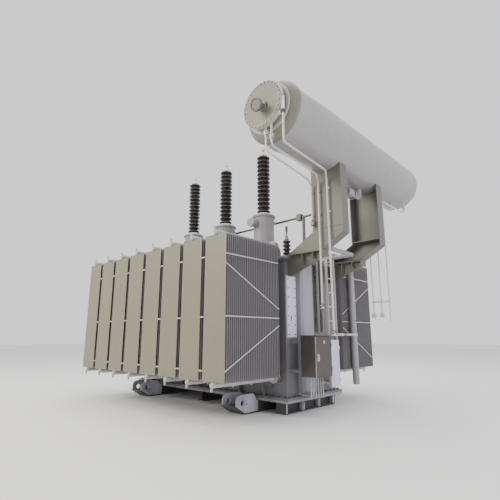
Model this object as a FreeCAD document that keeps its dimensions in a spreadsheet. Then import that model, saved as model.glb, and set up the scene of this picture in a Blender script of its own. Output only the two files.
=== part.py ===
"""Oil-filled power transformer with radiator banks and a raised conservator.

Millimetres, +Z up.  The origin is on the ground under the middle of the tank.
+X points to the conservator end, -Y to the side that carries the high-voltage
bushings, and the two radiator banks stand at -Y (front) and +Y (rear).
"""
import FreeCAD, Part
import math
import os
import re
import Sketcher
from FreeCAD import Placement, Rotation, Vector

doc = FreeCAD.newDocument("power_transformer")

# Driving dimensions, each written once.
SIZES = [
    # ground frame
    ("base_height", 250), ("base_plate_thick", 40), ("bar_plate", 20),
    ("end_beam_width", 220), ("end_beam_inset", 40),
    ("skid_spacing", 3110), ("skid_width", 400), ("skid_web_gap", 330), ("skid_web", 25),
    ("skid_length", 3000), ("skid_nose_length", 220), ("skid_nose_rise", 130),
    ("skid_lug_height", 340), ("skid_lug_clear", 50), ("tow_hole_radius", 50),
    ("tow_hole_inset", 155), ("tow_hole_height", 200), ("pin_hole_radius", 17),
    ("pin_hole_back", 105), ("pin_hole_height", 170),
    # tank
    ("tank_length", 4700), ("tank_width", 1640), ("tank_height", 2620),
    ("flange_out", 90), ("flange_plate", 45), ("rim_out", 60), ("rim_plate", 30),
    ("cover_plate", 30), ("rib_thick", 14), ("rib_out", 90),
    ("column_width", 400), ("column_out", 120), ("column_place", -250),
    ("hatch_width", 270), ("hatch_height", 1140), ("hatch_thick", 14),
    ("hatch_place", -645), ("hatch_bottom", 1350),
    ("lug_place", 1950), ("lug_height", 620), ("lug_size", 160),
    # radiators
    ("radiator_count", 8), ("fin_count", 30), ("fin_width", 520), ("fin_thick", 12),
    ("fin_pitch", 45), ("fin_height", 2367), ("fin_rise", 167), ("radiator_gap", 97),
    ("bank_gap", 283), ("header_radius", 44.5), ("header_drop", 40), ("header_out", 42),
    ("header_flange_radius", 92), ("header_flange", 20), ("valve_length", 70),
    ("elbow_radius", 110), ("plug_radius", 16), ("plug_length", 50),
    ("brace_width", 22), ("brace_thick", 8), ("brace_low", 1000), ("brace_drop", 367),
    # high-voltage bushings
    ("bushing_y", -420), ("bushing_first_x", 1480), ("bushing_pitch", 1225),
    ("turret_radius", 224), ("turret_height", 1030), ("turret_flange_radius", 254),
    ("turret_flange", 32), ("cup_radius", 150), ("cup_height", 70),
    ("porcelain_height", 1370), ("core_radius", 107), ("shed_radius", 147),
    ("shed_count", 14), ("shed_height", 58),
    ("cap_radius", 62), ("cap_height", 90), ("stud_radius", 18), ("stud_length", 190),
    ("ct_box_radius", 100), ("ct_box_length", 150), ("ct_box_drop", 150),
    # small bushing on the cover
    ("small_inset", 210), ("small_y", -470), ("small_radius", 84), ("small_core", 46),
    ("small_height", 400), ("small_sheds", 5), ("small_flange", 24),
    ("small_stud", 18), ("small_stud_length", 190), ("palm_width", 80), ("palm_height", 130),
    # conservator
    ("drum_offset", 997), ("drum_z", 4855), ("drum_radius", 529), ("drum_length", 4540),
    ("drum_wall", 10), ("seat_gap", 0.3), ("head_depth", 150), ("neck_radius", 360), ("neck_length", 140),
    ("ring_out", 50), ("ring_thick", 26), ("end_cover_thick", 24),
    ("gauge_radius", 105), ("gauge_depth", 60), ("gauge_stem", 120), ("gauge_boss_radius", 85),
    ("gauge_raise", -43), ("gauge_side", 27), ("gauge_boss", 32), ("gauge_tilt", 15),
    # legs and brackets
    ("leg_spread", 1640), ("leg_plate", 16), ("leg_flange", 220),
    ("leg_near_out", 670), ("leg_far_out", 1290), ("knee_z", 3260), ("knee_drop", 120),
    ("foot_near_out", 90), ("foot_far_out", 850),
    ("arm_depth", 380), ("arm_tip_depth", 100), ("arm_width", 220), ("arm_lap", 90), ("arm_plate", 20),
    ("arm_length", 850),
    # pipes
    ("main_pipe_radius", 42), ("main_pipe_y", -420), ("main_pipe_out", 770),
    ("main_pipe_low", 2975), ("main_pipe_rear_y", 430), ("relay_width", 260),
    ("relay_height", 250), ("relay_z", 4120), ("gas_pipe_radius", 25), ("gas_pipe_y", -120),
    ("gas_pipe_drop", 75), ("post_inset", 20), ("down_pipe_radius", 16),
    ("rear_pipe_radius", 14), ("rear_pipe_y", 950), ("pipe_clear", 38),
    # pressure relief valve and its duct
    ("relief_inset", 500), ("relief_y", 600), ("relief_radius", 130), ("relief_height", 270),
    ("duct_radius", 70), ("duct_wall", 4), ("duct_offset", 160), ("duct_y", 1404),
    ("duct_z", 3060), ("duct_end", 356), ("duct_collar", 10),
    # control cabinet
    ("cabinet_width", 510), ("cabinet_height", 700), ("cabinet_depth", 290),
    ("cabinet_wall", 4), ("cabinet_bottom", 670), ("cabinet_y", -495), ("cabinet_offset", 280),
    ("door_thick", 22), ("door_gap", 6), ("door_inset", 8), ("hinge_pin", 5),
    ("hinge_out", 9), ("lug_thick", 12), ("knuckle_length", 50), ("hinge_play", 1),
    ("pin_play", 0.06),
    ("arm_bar", 50), ("conduit_radius", 14), ("handle_length", 130),
    # ladder, its guard and the cable tray
    ("ladder_clear", 10), ("ladder_width", 300), ("ladder_offset", 190), ("rail_width", 50),
    ("rail_thick", 10), ("rung_radius", 11), ("rung_pitch", 290), ("ladder_bottom", 390),
    ("guard_lap", 25), ("guard_height", 900), ("guard_bottom", 395), ("guard_thick", 3),
    ("guard_gap", 14), ("guard_fold", 25),
    ("tray_gap", 15), ("tray_width", 150), ("tray_depth", 45), ("tray_wall", 3),
    ("tray_bottom", 1450), ("drain_z", 1400), ("drain_radius", 24),
]

# Places that follow from the sizes.
PLACES = [
    ("half_length", "tank_length / 2"),
    ("half_width", "tank_width / 2"),
    ("cover_under", "base_height + tank_height - cover_plate"),
    ("cover_top", "base_height + tank_height"),
    ("bank_inner", "half_width + bank_gap"),
    ("bank_depth", "(fin_count - 1) * fin_pitch + fin_thick"),
    ("bank_outer", "bank_inner + bank_depth"),
    ("radiator_step", "fin_width + radiator_gap"),
    ("bank_half", "(radiator_count * radiator_step - radiator_gap) / 2"),
    ("fin_top", "cover_top + fin_rise"),
    ("fin_bottom", "fin_top - fin_height"),
    ("brace_high", "fin_top - brace_drop"),
    ("header_low", "fin_bottom - header_drop"),
    ("header_high", "fin_top + header_drop"),
    ("header_inner", "half_width + bank_gap / 2"),
    ("turret_top", "cover_top + turret_height + turret_flange"),
    ("porcelain_foot", "turret_top + cup_height"),
    ("porcelain_top", "porcelain_foot + porcelain_height"),
    ("shed_pitch", "porcelain_height / shed_count"),
    ("small_x", "half_length - small_inset"),
    ("relief_x", "half_length - relief_inset"),
    ("post_x", "half_length - post_inset"),
    ("drum_x", "half_length + drum_offset"),
    ("drum_half", "drum_length / 2"),
    ("drum_bottom", "drum_z - drum_radius"),
    ("neck_end", "-drum_half - head_depth - neck_length"),
    ("ring_radius", "neck_radius + ring_out"),
    ("leg_y", "leg_spread / 2"),
    ("leg_near_x", "half_length + leg_near_out"),
    ("leg_far_x", "half_length + leg_far_out"),
    ("foot_near_x", "half_length + foot_near_out"),
    ("foot_far_x", "half_length + foot_far_out"),
    ("arm_end_x", "half_length + arm_length"),
    ("main_pipe_x", "half_length + main_pipe_out"),
    ("cabinet_back", "half_length + cabinet_offset"),
    ("cabinet_front", "cabinet_back + cabinet_depth"),
    ("ladder_x", "half_length + ladder_offset"),
    ("rail_out", "ladder_x + rail_width"),
    ("ladder_high_y", "leg_y - leg_flange - ladder_clear"),
    ("ladder_low_y", "ladder_high_y - ladder_width"),
    ("tray_y", "ladder_low_y - tray_gap - tray_width / 2"),
]


def make_sheets():
    """Write the driving sizes and, in a second sheet, the places worked out from them."""
    sizes = doc.addObject("Spreadsheet::Sheet", "sizes")
    for row, (alias, number) in enumerate(SIZES, 1):
        sizes.set("A%d" % row, alias.replace("_", " "))
        sizes.set("B%d" % row, str(number))
        sizes.setAlias("B%d" % row, alias)
    places = doc.addObject("Spreadsheet::Sheet", "places")
    for row, (alias, text) in enumerate(PLACES, 1):
        places.set("A%d" % row, alias.replace("_", " "))
        places.set("B%d" % row, "=" + formula(text))
        places.setAlias("B%d" % row, alias)
        doc.recompute([sizes, places])
    return sizes, places


SIZE_NAMES = {alias for alias, _ in SIZES}
PLACE_NAMES = {alias for alias, _ in PLACES}


def formula(text):
    """Write a formula with each name led by the sheet that holds it."""
    def lead(match):
        word = match.group(0)
        if word in SIZE_NAMES:
            return "sizes." + word
        if word in PLACE_NAMES:
            return "places." + word
        raise ValueError("unknown size: " + word)
    return re.sub(r"[a-z][a-z_]*[a-z]", lead, str(text))


SHEET, PLACED = make_sheets()


def size(alias):
    """Read one number from the sheets, for shapes that are built in code."""
    return float((SHEET if alias in SIZE_NAMES else PLACED).get(alias))


def bind(thing, **formulas):
    """Tie properties to the sheets; a double underscore in a name stands for a dot."""
    for name, text in formulas.items():
        thing.setExpression(name.replace("__", "."), formula(text))
    return thing


def put(thing, x, y, z):
    return bind(thing, Placement__Base__x=x, Placement__Base__y=y, Placement__Base__z=z)


AXIS_TURN = {
    "X": Rotation(Vector(0, 1, 0), 90),
    "Y": Rotation(Vector(1, 0, 0), -90),
    "Z": Rotation(),
    "-Y": Rotation(Vector(1, 0, 0), 90),
}
PLANE_ROLE = {"XY": "XY_Plane", "XZ": "XZ_Plane", "YZ": "YZ_Plane"}
counter = {"made": 0}


def new(kind, name=None):
    """Add an object; a named one is a sub-part, any other gets a running number."""
    counter["made"] += 1
    label = name or "%s_%03d" % (kind.split("::")[1].lower(), counter["made"])
    thing = doc.addObject(kind, label)
    thing.Label = label
    return thing


def box(x, y, z, dx, dy, dz, name=None):
    """A block with its low corner at x, y, z."""
    thing = new("Part::Box", name)
    bind(thing, Length=dx, Width=dy, Height=dz)
    return put(thing, x, y, z)


def rod(axis, x, y, z, radius, length, name=None):
    """A round bar that starts at x, y, z and runs along the axis."""
    thing = new("Part::Cylinder", name)
    thing.Placement = Placement(Vector(), AXIS_TURN[axis])
    bind(thing, Radius=radius, Height=length)
    return put(thing, x, y, z)


def cone(x, y, z, low_radius, high_radius, height):
    thing = new("Part::Cone")
    bind(thing, Radius1=low_radius, Radius2=high_radius, Height=height)
    return put(thing, x, y, z)


def fuse(parts, name=None):
    thing = new("Part::MultiFuse", name)
    thing.Shapes = parts
    return thing


def cut(base, tool, name=None):
    thing = new("Part::Cut", name)
    thing.Base, thing.Tool = base, tool
    return thing


def gather(parts, name):
    """Separate like solids that share one node."""
    thing = new("Part::Compound", name)
    thing.Links = parts
    return thing


def mirrored(source, normal, name=None):
    """The same shape on the other side of the tank's middle plane."""
    thing = new("Part::Mirroring", name)
    thing.Source = source
    thing.Normal = normal
    thing.Base = Vector()
    return thing


class Piece:
    """A PartDesign body made of sketched features."""

    def __init__(self, name=None):
        self.body = new("PartDesign::Body", name)
        self.planes = {item.Role: item for item in self.body.Origin.OriginFeatures}

    def sketch(self, plane, at, corners=(), circles=()):
        """A sketch whose own origin lies at (across, up, along the normal) of the plane."""
        counter["made"] += 1
        face = self.body.newObject("Sketcher::SketchObject", "sketch_%03d" % counter["made"])
        face.AttachmentSupport = [(self.planes[PLANE_ROLE[plane]], "")]
        face.MapMode = "FlatFace"
        across, up, along = at
        bind(face, AttachmentOffset__Base__x=across, AttachmentOffset__Base__y=up,
             AttachmentOffset__Base__z=along)
        self.outline(face, corners)
        for middle_x, middle_y, radius in circles:
            self.circle(face, middle_x, middle_y, radius)
        return face

    def outline(self, face, corners):
        """A closed loop of straight lines, each corner held from the sketch's origin."""
        count = len(corners)
        turn = [2 * math.pi * step / max(count, 1) for step in range(count)]
        rough = [Vector(100 * math.cos(a), 100 * math.sin(a), 0) for a in turn]
        first = face.GeometryCount
        for step in range(count):
            face.addGeometry(Part.LineSegment(rough[step], rough[(step + 1) % count]), False)
        for step in range(count):
            after = first + (step + 1) % count
            face.addConstraint(Sketcher.Constraint("Coincident", first + step, 2, after, 1))
        for step, (across, up) in enumerate(corners):
            self.hold(face, first + step, 1, across, up)

    def hold(self, face, edge, point, across, up):
        for kind, text in (("DistanceX", across), ("DistanceY", up)):
            place = face.addConstraint(Sketcher.Constraint(kind, -1, 1, edge, point, 1.0))
            face.setExpression("Constraints[%d]" % place, formula(text))

    def circle(self, face, middle_x, middle_y, radius):
        ring = face.addGeometry(Part.Circle(Vector(10, 10, 0), Vector(0, 0, 1), 5), False)
        self.hold(face, ring, 3, middle_x, middle_y)
        place = face.addConstraint(Sketcher.Constraint("Radius", ring, 5.0))
        face.setExpression("Constraints[%d]" % place, formula(radius))

    def pad(self, plane, at, length, corners=(), circles=()):
        feature = self.body.newObject("PartDesign::Pad", "pad_%03d" % (counter["made"] + 1))
        feature.Profile = self.sketch(plane, at, corners, circles)
        feature.setExpression("Length", formula(length))
        self.body.Tip = feature
        return self

    def pocket(self, plane, at, length, corners=(), circles=()):
        feature = self.body.newObject("PartDesign::Pocket", "pocket_%03d" % (counter["made"] + 1))
        feature.Profile = self.sketch(plane, at, corners, circles)
        feature.setExpression("Length", formula(length))
        feature.Reversed = True
        self.body.Tip = feature
        return self

    def revolve(self, plane, at, corners, axis="V_Axis"):
        feature = self.body.newObject("PartDesign::Revolution", "turn_%03d" % (counter["made"] + 1))
        profile = self.sketch(plane, at, corners)
        feature.Profile = profile
        feature.ReferenceAxis = (profile, [axis])
        feature.Angle = 360
        self.body.Tip = feature
        return self


def rectangle(low_x, low_y, high_x, high_y):
    return [(low_x, low_y), (high_x, low_y), (high_x, high_y), (low_x, high_y)]


def tube_path(points, bend):
    """A wire of straight runs joined by arcs of one bend radius."""
    edges = []
    start = points[0]
    for before, corner, after in zip(points, points[1:], points[2:]):
        inward = (before - corner).normalize()
        outward = (after - corner).normalize()
        turn = math.pi - inward.getAngle(outward)
        reach = bend * math.tan(turn / 2)
        arc_start = corner + inward * reach
        arc_end = corner + outward * reach
        middle = (inward + outward).normalize()
        arc_middle = corner + middle * (bend / math.cos(turn / 2) - bend)
        edges.append(Part.LineSegment(start, arc_start).toShape())
        edges.append(Part.Arc(arc_start, arc_middle, arc_end).toShape())
        start = arc_end
    edges.append(Part.LineSegment(start, points[-1]).toShape())
    return Part.Wire(edges)


def tube(points, radius, bend):
    """A solid round pipe along the points."""
    points = [Vector(*point) for point in points]
    path = tube_path(points, bend)
    start = Part.Circle(points[0], points[1] - points[0], radius).toShape()
    pipe = path.makePipeShell([Part.Wire([start])], True, True)
    if not pipe.isValid() or pipe.Volume < 0.98 * math.pi * radius ** 2 * path.Length:
        raise RuntimeError("a pipe did not sweep")
    return pipe


def ball_valve(middle, axis, radius):
    """A small valve: body, two flanges and a lever, as one solid."""
    middle = Vector(*middle)
    axis = Vector(*axis)
    body = Part.makeCylinder(radius * 1.7, radius * 3.2, middle - axis * radius * 1.6, axis)
    flanges = [Part.makeCylinder(radius * 2.3, radius * 0.6, middle + axis * place, axis)
               for place in (-radius * 2.0, radius * 1.4)]
    return body.multiFuse(flanges)


def ready(shapes, name):
    """One node from shapes built in code, each a closed solid."""
    thing = new("Part::Feature", name)
    solids = [shape.Solids[0] if len(shape.Solids) == 1 else shape for shape in shapes]
    thing.Shape = solids[0] if len(solids) == 1 else Part.makeCompound(solids)
    thing.Placement = Placement()
    return thing


# ---------------------------------------------------------------- ground frame
def end_beam(outer_x):
    """An I-beam across the tank's end, with stiffening ribs at its ends and middle."""
    low_y, width = "-half_width", "tank_width"
    under = "(base_height - base_plate_thick)"
    middle = "%s - end_beam_width / 2" % outer_x
    parts = [
        box("%s - end_beam_width" % outer_x, low_y, 0, "end_beam_width", width, "bar_plate"),
        box("%s - end_beam_width" % outer_x, low_y, "%s - bar_plate" % under,
            "end_beam_width", width, "bar_plate"),
        box("%s - bar_plate / 2" % middle, low_y, 0, "bar_plate", width, under),
    ]
    for share in ("0", "0.33", "0.67", "1"):
        parts.append(box("%s - end_beam_width" % outer_x,
                         "-half_width + %s * (tank_width - bar_plate)" % share, 0,
                         "end_beam_width", "bar_plate", under))
    return fuse(parts)


def end_beams():
    near = end_beam("(half_length - end_beam_inset)")
    gather([near, mirrored(near, Vector(1, 0, 0))], "end_beams")


def towing_skid():
    """Two webs on a sole whose noses turn up, with a towing bore at each end."""
    middle = "skid_spacing / 2"
    half = "skid_length / 2"
    under = "(base_height - base_plate_thick)"
    flat = "(skid_length / 2 - skid_nose_length)"
    sole = [
        ("-" + flat, 0), (flat, 0), (half, "skid_nose_rise"),
        (half, "skid_nose_rise + bar_plate"), (flat, "bar_plate"),
        ("-" + flat, "bar_plate"), ("-" + half, "skid_nose_rise + bar_plate"),
        ("-" + half, "skid_nose_rise"),
    ]
    tip, low = "(skid_length / 2 - 10)", "skid_nose_rise + bar_plate / 2"
    lug = "(half_width + flange_out + skid_lug_clear)"
    one_end = [
        (flat, "bar_plate / 2"), (tip, low), (tip, "skid_lug_height - 90"),
        ("(" + tip + " - 25)", "skid_lug_height - 30"), ("(" + tip + " - 85)", "skid_lug_height"),
        ("(" + lug + " + 90)", "skid_lug_height"), (lug, under),
    ]
    web = one_end + [("-" + across, height) for across, height in reversed(one_end)]
    hole = "(skid_length / 2 - tow_hole_inset)"
    pin = "(skid_length / 2 - tow_hole_inset - pin_hole_back)"
    holes = []
    for side in ("-", ""):
        holes.append((side + hole, "tow_hole_height", "tow_hole_radius"))
        holes.append((side + pin, "pin_hole_height", "pin_hole_radius"))
    skid = Piece()
    skid.pad("YZ", (0, 0, middle + " - skid_width / 2"), "skid_width", sole)
    for place in (" - skid_web_gap / 2 - skid_web", " + skid_web_gap / 2"):
        skid.pad("YZ", (0, 0, middle + place), "skid_web", web, holes)
    for share in ("-0.25", "0.25"):
        skid.pad("XZ", (0, 0, "%s * tank_width" % share), "bar_plate",
                 rectangle(middle + " - skid_web_gap / 2 - 5", "bar_plate / 2",
                           middle + " + skid_web_gap / 2 + 5", under))
    return skid.body


def towing_skids():
    near = towing_skid()
    gather([near, mirrored(near, Vector(1, 0, 0))], "towing_skids")


def middle_skid():
    """A plain I-beam across the middle of the base."""
    under = "(base_height - base_plate_thick)"
    fuse([
        box("-end_beam_width / 2", "-half_width", 0, "end_beam_width", "tank_width", "bar_plate"),
        box("-bar_plate / 2", "-half_width", 0, "bar_plate", "tank_width", under),
        box("-end_beam_width / 2", "-half_width", under + " - bar_plate",
            "end_beam_width", "tank_width", "bar_plate"),
    ], "middle_skid")


def base_plate():
    """The bottom plate, which is also the lower half of the bolted flange."""
    box("-half_length - flange_out", "-half_width - flange_out",
        "base_height - base_plate_thick", "tank_length + 2 * flange_out",
        "tank_width + 2 * flange_out", "base_plate_thick", "base_plate")


# ------------------------------------------------------------------------ tank
def tank_bell():
    """The bell: walls closed into one housing, a foot flange and a top rim."""
    bell = Piece("tank_bell")
    bell.pad("XY", (0, 0, "base_height"), "tank_height - cover_plate",
             rectangle("-half_length", "-half_width", "half_length", "half_width"))
    bell.pad("XY", (0, 0, "base_height"), "flange_plate",
             rectangle("-half_length - flange_out", "-half_width - flange_out",
                       "half_length + flange_out", "half_width + flange_out"))
    bell.pad("XY", (0, 0, "cover_under - rim_plate"), "rim_plate",
             rectangle("-half_length - rim_out", "-half_width - rim_out",
                       "half_length + rim_out", "half_width + rim_out"))


def tank_cover():
    cover = Piece("tank_cover")
    cover.pad("XY", (0, 0, "cover_under"), "cover_plate",
              rectangle("-half_length - rim_out", "-half_width - rim_out",
                        "half_length + rim_out", "half_width + rim_out"))


def side_ribs():
    """Upright flat bars on both long walls, one at each gap between radiators."""
    low = "base_height + flange_plate"
    high = "cover_under - rim_plate"
    ribs = []
    for step in range(1, int(size("radiator_count"))):
        x = "-bank_half + %d * radiator_step - radiator_gap / 2 - rib_thick / 2" % step
        for y in ("-half_width - rib_out", "half_width"):
            ribs.append(box(x, y, low, "rib_thick", "rib_out", "%s - (%s)" % (high, low)))
    gather(ribs, "side_ribs")


def end_columns():
    """A folded box stiffener up each end wall, with chamfered outer corners."""
    low, high = "base_height + flange_plate", "cover_under - rim_plate"
    chamfer = "column_out / 3"
    left, right = "column_place - column_width / 2", "column_place + column_width / 2"
    column = Piece()
    column.pad("XY", (0, 0, low), "%s - (%s)" % (high, low), [
        ("half_length", left), ("half_length + column_out * 2 / 3", left),
        ("half_length + column_out", left + " + " + chamfer),
        ("half_length + column_out", right + " - " + chamfer),
        ("half_length + column_out * 2 / 3", right), ("half_length", right)])
    gather([column.body, mirrored(column.body, Vector(1, 0, 0))], "end_columns")


def hand_hole_cover():
    box("half_length", "hatch_place - hatch_width / 2", "hatch_bottom",
        "hatch_thick", "hatch_width", "hatch_height", "hand_hole_cover")


def jacking_lugs():
    """A jacking bracket low on each long wall near each corner."""
    lug = Piece()
    lug.pad("YZ", (0, 0, "lug_place - lug_size / 2"), "lug_size", [
        ("-half_width", "lug_height"), ("-half_width - lug_size", "lug_height"),
        ("-half_width - lug_size", "lug_height - 30"), ("-half_width", "lug_height - 200")])
    near = [lug.body, mirrored(lug.body, Vector(0, 1, 0))]
    far = [mirrored(item, Vector(1, 0, 0)) for item in near]
    gather(near + far, "jacking_lugs")


# ------------------------------------------------------------------- radiators
def one_radiator():
    """A stack of pressed panels on an upper and a lower header pipe."""
    x = "bank_half - fin_width"
    middle = "bank_half - fin_width / 2"
    parts = []
    for step in range(int(size("fin_count"))):
        parts.append(box(x, "-bank_inner - fin_thick - %d * fin_pitch" % step, "fin_bottom",
                         "fin_width", "fin_thick", "fin_height"))
    for z in ("header_low", "header_high"):
        parts.append(rod("Y", middle, "-bank_outer - header_out", z, "header_radius",
                         "bank_outer + header_out - header_inner"))
        parts.append(rod("Y", middle, "-header_inner - header_flange", z,
                         "header_flange_radius", "header_flange"))
    parts.append(rod("Z", middle, "-bank_outer - header_out / 2",
                     "header_low - header_radius - plug_length", "plug_radius",
                     "plug_length + header_radius"))
    parts.append(rod("Z", middle, "-bank_outer - header_out / 2", "header_high",
                     "plug_radius", "plug_length + header_radius"))
    return fuse(parts)


def radiators():
    first = one_radiator()
    row = [first]
    for step in range(1, int(size("radiator_count"))):
        copy = new("App::Link")
        copy.LinkedObject = first
        put(copy, "-%d * radiator_step" % step, 0, 0)
        row.append(copy)
    front = gather(row, "front_radiators")
    mirrored(front, Vector(0, 1, 0), "rear_radiators")


def radiator_valve(x, z):
    """A butterfly valve against a header's flange, with its own flange."""
    return [
        rod("Y", x, "-header_inner", z, "header_radius + 28", "valve_length"),
        rod("Y", x, "-header_inner + valve_length", z, "header_flange_radius", "header_flange"),
    ]


def radiator_valves():
    """The lower header meets the tank wall; the upper one turns down onto the cover."""
    valves = []
    valve_end = "header_inner - valve_length"
    for step in range(int(size("radiator_count"))):
        x = "bank_half - fin_width / 2 - %d * radiator_step" % step
        stub = rod("Y", x, "-(%s)" % valve_end, "header_low", "header_radius",
                   valve_end + " - half_width")
        valves.append(fuse(radiator_valve(x, "header_low") + [stub]))
        bend = new("Part::Torus")
        bend.Placement = Placement(Vector(), Rotation(Vector(1, 1, 1), 120))
        bind(bend, Radius1="elbow_radius", Radius2="header_radius", Angle3=90)
        put(bend, x, "-(%s) + header_flange" % valve_end, "header_high - elbow_radius")
        down_y = "-(%s) + header_flange + elbow_radius" % valve_end
        drop = rod("Z", x, down_y, "cover_top", "header_radius",
                   "header_high - elbow_radius - cover_top")
        foot = rod("Z", x, down_y, "cover_top", "header_radius + 36", "header_flange")
        valves.append(fuse(radiator_valve(x, "header_high") + [bend, drop, foot]))
    front = gather(valves, "front_radiator_valves")
    mirrored(front, Vector(0, 1, 0), "rear_radiator_valves")


def slanted_bar(x, low_y, low_z, high_y, high_z):
    """A flat bar in the YZ plane between two heights."""
    bar = Piece()
    bar.pad("YZ", (0, 0, x), "brace_thick", [
        (low_y, low_z), (low_y, "%s + brace_width" % low_z),
        (high_y, "%s + brace_width" % high_z), (high_y, high_z)])
    return bar.body


def radiator_braces():
    """Flat bars over the bank's two end faces, and ties across the gaps."""
    outer, inner = "-bank_outer", "-bank_inner"
    bars = []
    for z in ("fin_bottom + brace_low", "brace_high"):
        bars.append(box("bank_half", outer, z, "brace_thick", "bank_depth", "brace_width"))
    bars.append(slanted_bar("bank_half", outer, "fin_bottom + 0.78 * fin_height",
                            inner, "fin_bottom + 0.49 * fin_height"))
    bars.append(slanted_bar("bank_half", outer, "fin_bottom + 0.068 * fin_height",
                            inner, "fin_bottom + 0.368 * fin_height"))
    parts = bars + [mirrored(bar, Vector(1, 0, 0)) for bar in bars]
    for step in range(1, int(size("radiator_count"))):
        x = "-bank_half + %d * radiator_step - radiator_gap" % step
        for z in ("fin_bottom + 150", "fin_bottom + brace_low", "brace_high"):
            parts.append(box(x, "-bank_outer", z, "radiator_gap", "fin_thick", "brace_width"))
    front = gather(parts, "front_radiator_braces")
    mirrored(front, Vector(0, 1, 0), "rear_radiator_braces")


# -------------------------------------------------------------------- bushings
def bushing_x(step):
    return "(bushing_first_x - %d * bushing_pitch)" % step


def turrets():
    """A round turret under each high-voltage bushing, with its top flange."""
    made = []
    for step in range(3):
        turret = Piece()
        turret.revolve("XZ", (bushing_x(step), "cover_top", "-bushing_y"), [
            (0, 0), ("turret_radius + 24", 0), ("turret_radius + 24", 20), ("turret_radius", 20),
            ("turret_radius", "turret_height"), ("turret_flange_radius", "turret_height"),
            ("turret_flange_radius", "turret_height + turret_flange"),
            (0, "turret_height + turret_flange")])
        made.append(turret.body)
    gather(made, "hv_turrets")


def bushing_cups():
    """The cast flange that clamps each porcelain to its turret."""
    made = []
    for step in range(3):
        cup = Piece()
        cup.revolve("XZ", (bushing_x(step), "turret_top", "-bushing_y"), [
            (0, 0), ("cup_radius + 40", 0), ("cup_radius + 40", 22), ("cup_radius", 22),
            ("core_radius + 25", "cup_height"), (0, "cup_height")])
        made.append(cup.body)
    gather(made, "hv_bushing_flanges")


def porcelains():
    made = []
    for step in range(3):
        x = bushing_x(step)
        parts = [rod("Z", x, "bushing_y", "porcelain_foot", "core_radius", "porcelain_height")]
        for shed in range(int(size("shed_count"))):
            z = "porcelain_foot + %d * shed_pitch + shed_pitch - shed_height" % shed
            parts.append(cone(x, "bushing_y", z, "shed_radius", "core_radius", "shed_height - 4"))
        made.append(fuse(parts))
    gather(made, "hv_porcelains")


def terminals():
    """A metal cap with a terminal stud on each porcelain."""
    made = []
    for step in range(3):
        cap = Piece()
        cap.revolve("XZ", (bushing_x(step), "porcelain_top", "-bushing_y"), [
            (0, 0), ("core_radius - 8", 0), ("cap_radius", "cap_height / 3"),
            ("cap_radius", "cap_height"), ("stud_radius", "cap_height"),
            ("stud_radius", "cap_height + stud_length"), (0, "cap_height + stud_length")])
        made.append(cap.body)
    gather(made, "hv_terminals")


def ct_terminal_box():
    """A round box on the first turret, with its bolted lid to the front."""
    z = "cover_top + turret_height - ct_box_drop"
    x = "bushing_first_x - 60"
    neck = rod("-Y", x, "bushing_y", z, "ct_box_radius - 25", "turret_radius + ct_box_length - 30")
    lid = rod("-Y", x, "bushing_y - turret_radius - ct_box_length + 30", z, "ct_box_radius", 30)
    hub = rod("Z", "bushing_first_x", "bushing_y", "cover_top", "turret_radius", "turret_height")
    cut(fuse([neck, lid]), hub, "ct_terminal_box")


def small_bushing():
    """A low-voltage neutral bushing at the conservator end of the cover."""
    foot = "cover_top + small_flange"
    rod("Z", "small_x", "small_y", "cover_top", "small_radius + 14", "small_flange",
        "small_bushing_flange")
    parts = [rod("Z", "small_x", "small_y", foot, "small_core", "small_height")]
    for shed in range(int(size("small_sheds"))):
        z = "%s + %d * small_height / small_sheds + small_height / small_sheds / 3" % (foot, shed)
        parts.append(cone("small_x", "small_y", z, "small_radius", "small_core",
                          "small_height / small_sheds / 2"))
    fuse(parts, "small_bushing_porcelain")
    top = foot + " + small_height"
    stud = rod("Z", "small_x", "small_y", top, "small_stud", "small_stud_length")
    collar = rod("Z", "small_x", "small_y", top, "small_stud + 14", 40)
    palm = box("small_x - 8", "small_y - palm_width / 2", top + " + small_stud_length - 30",
               16, "palm_width", "palm_height")
    fuse([stud, collar, palm], "small_bushing_terminal")


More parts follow.
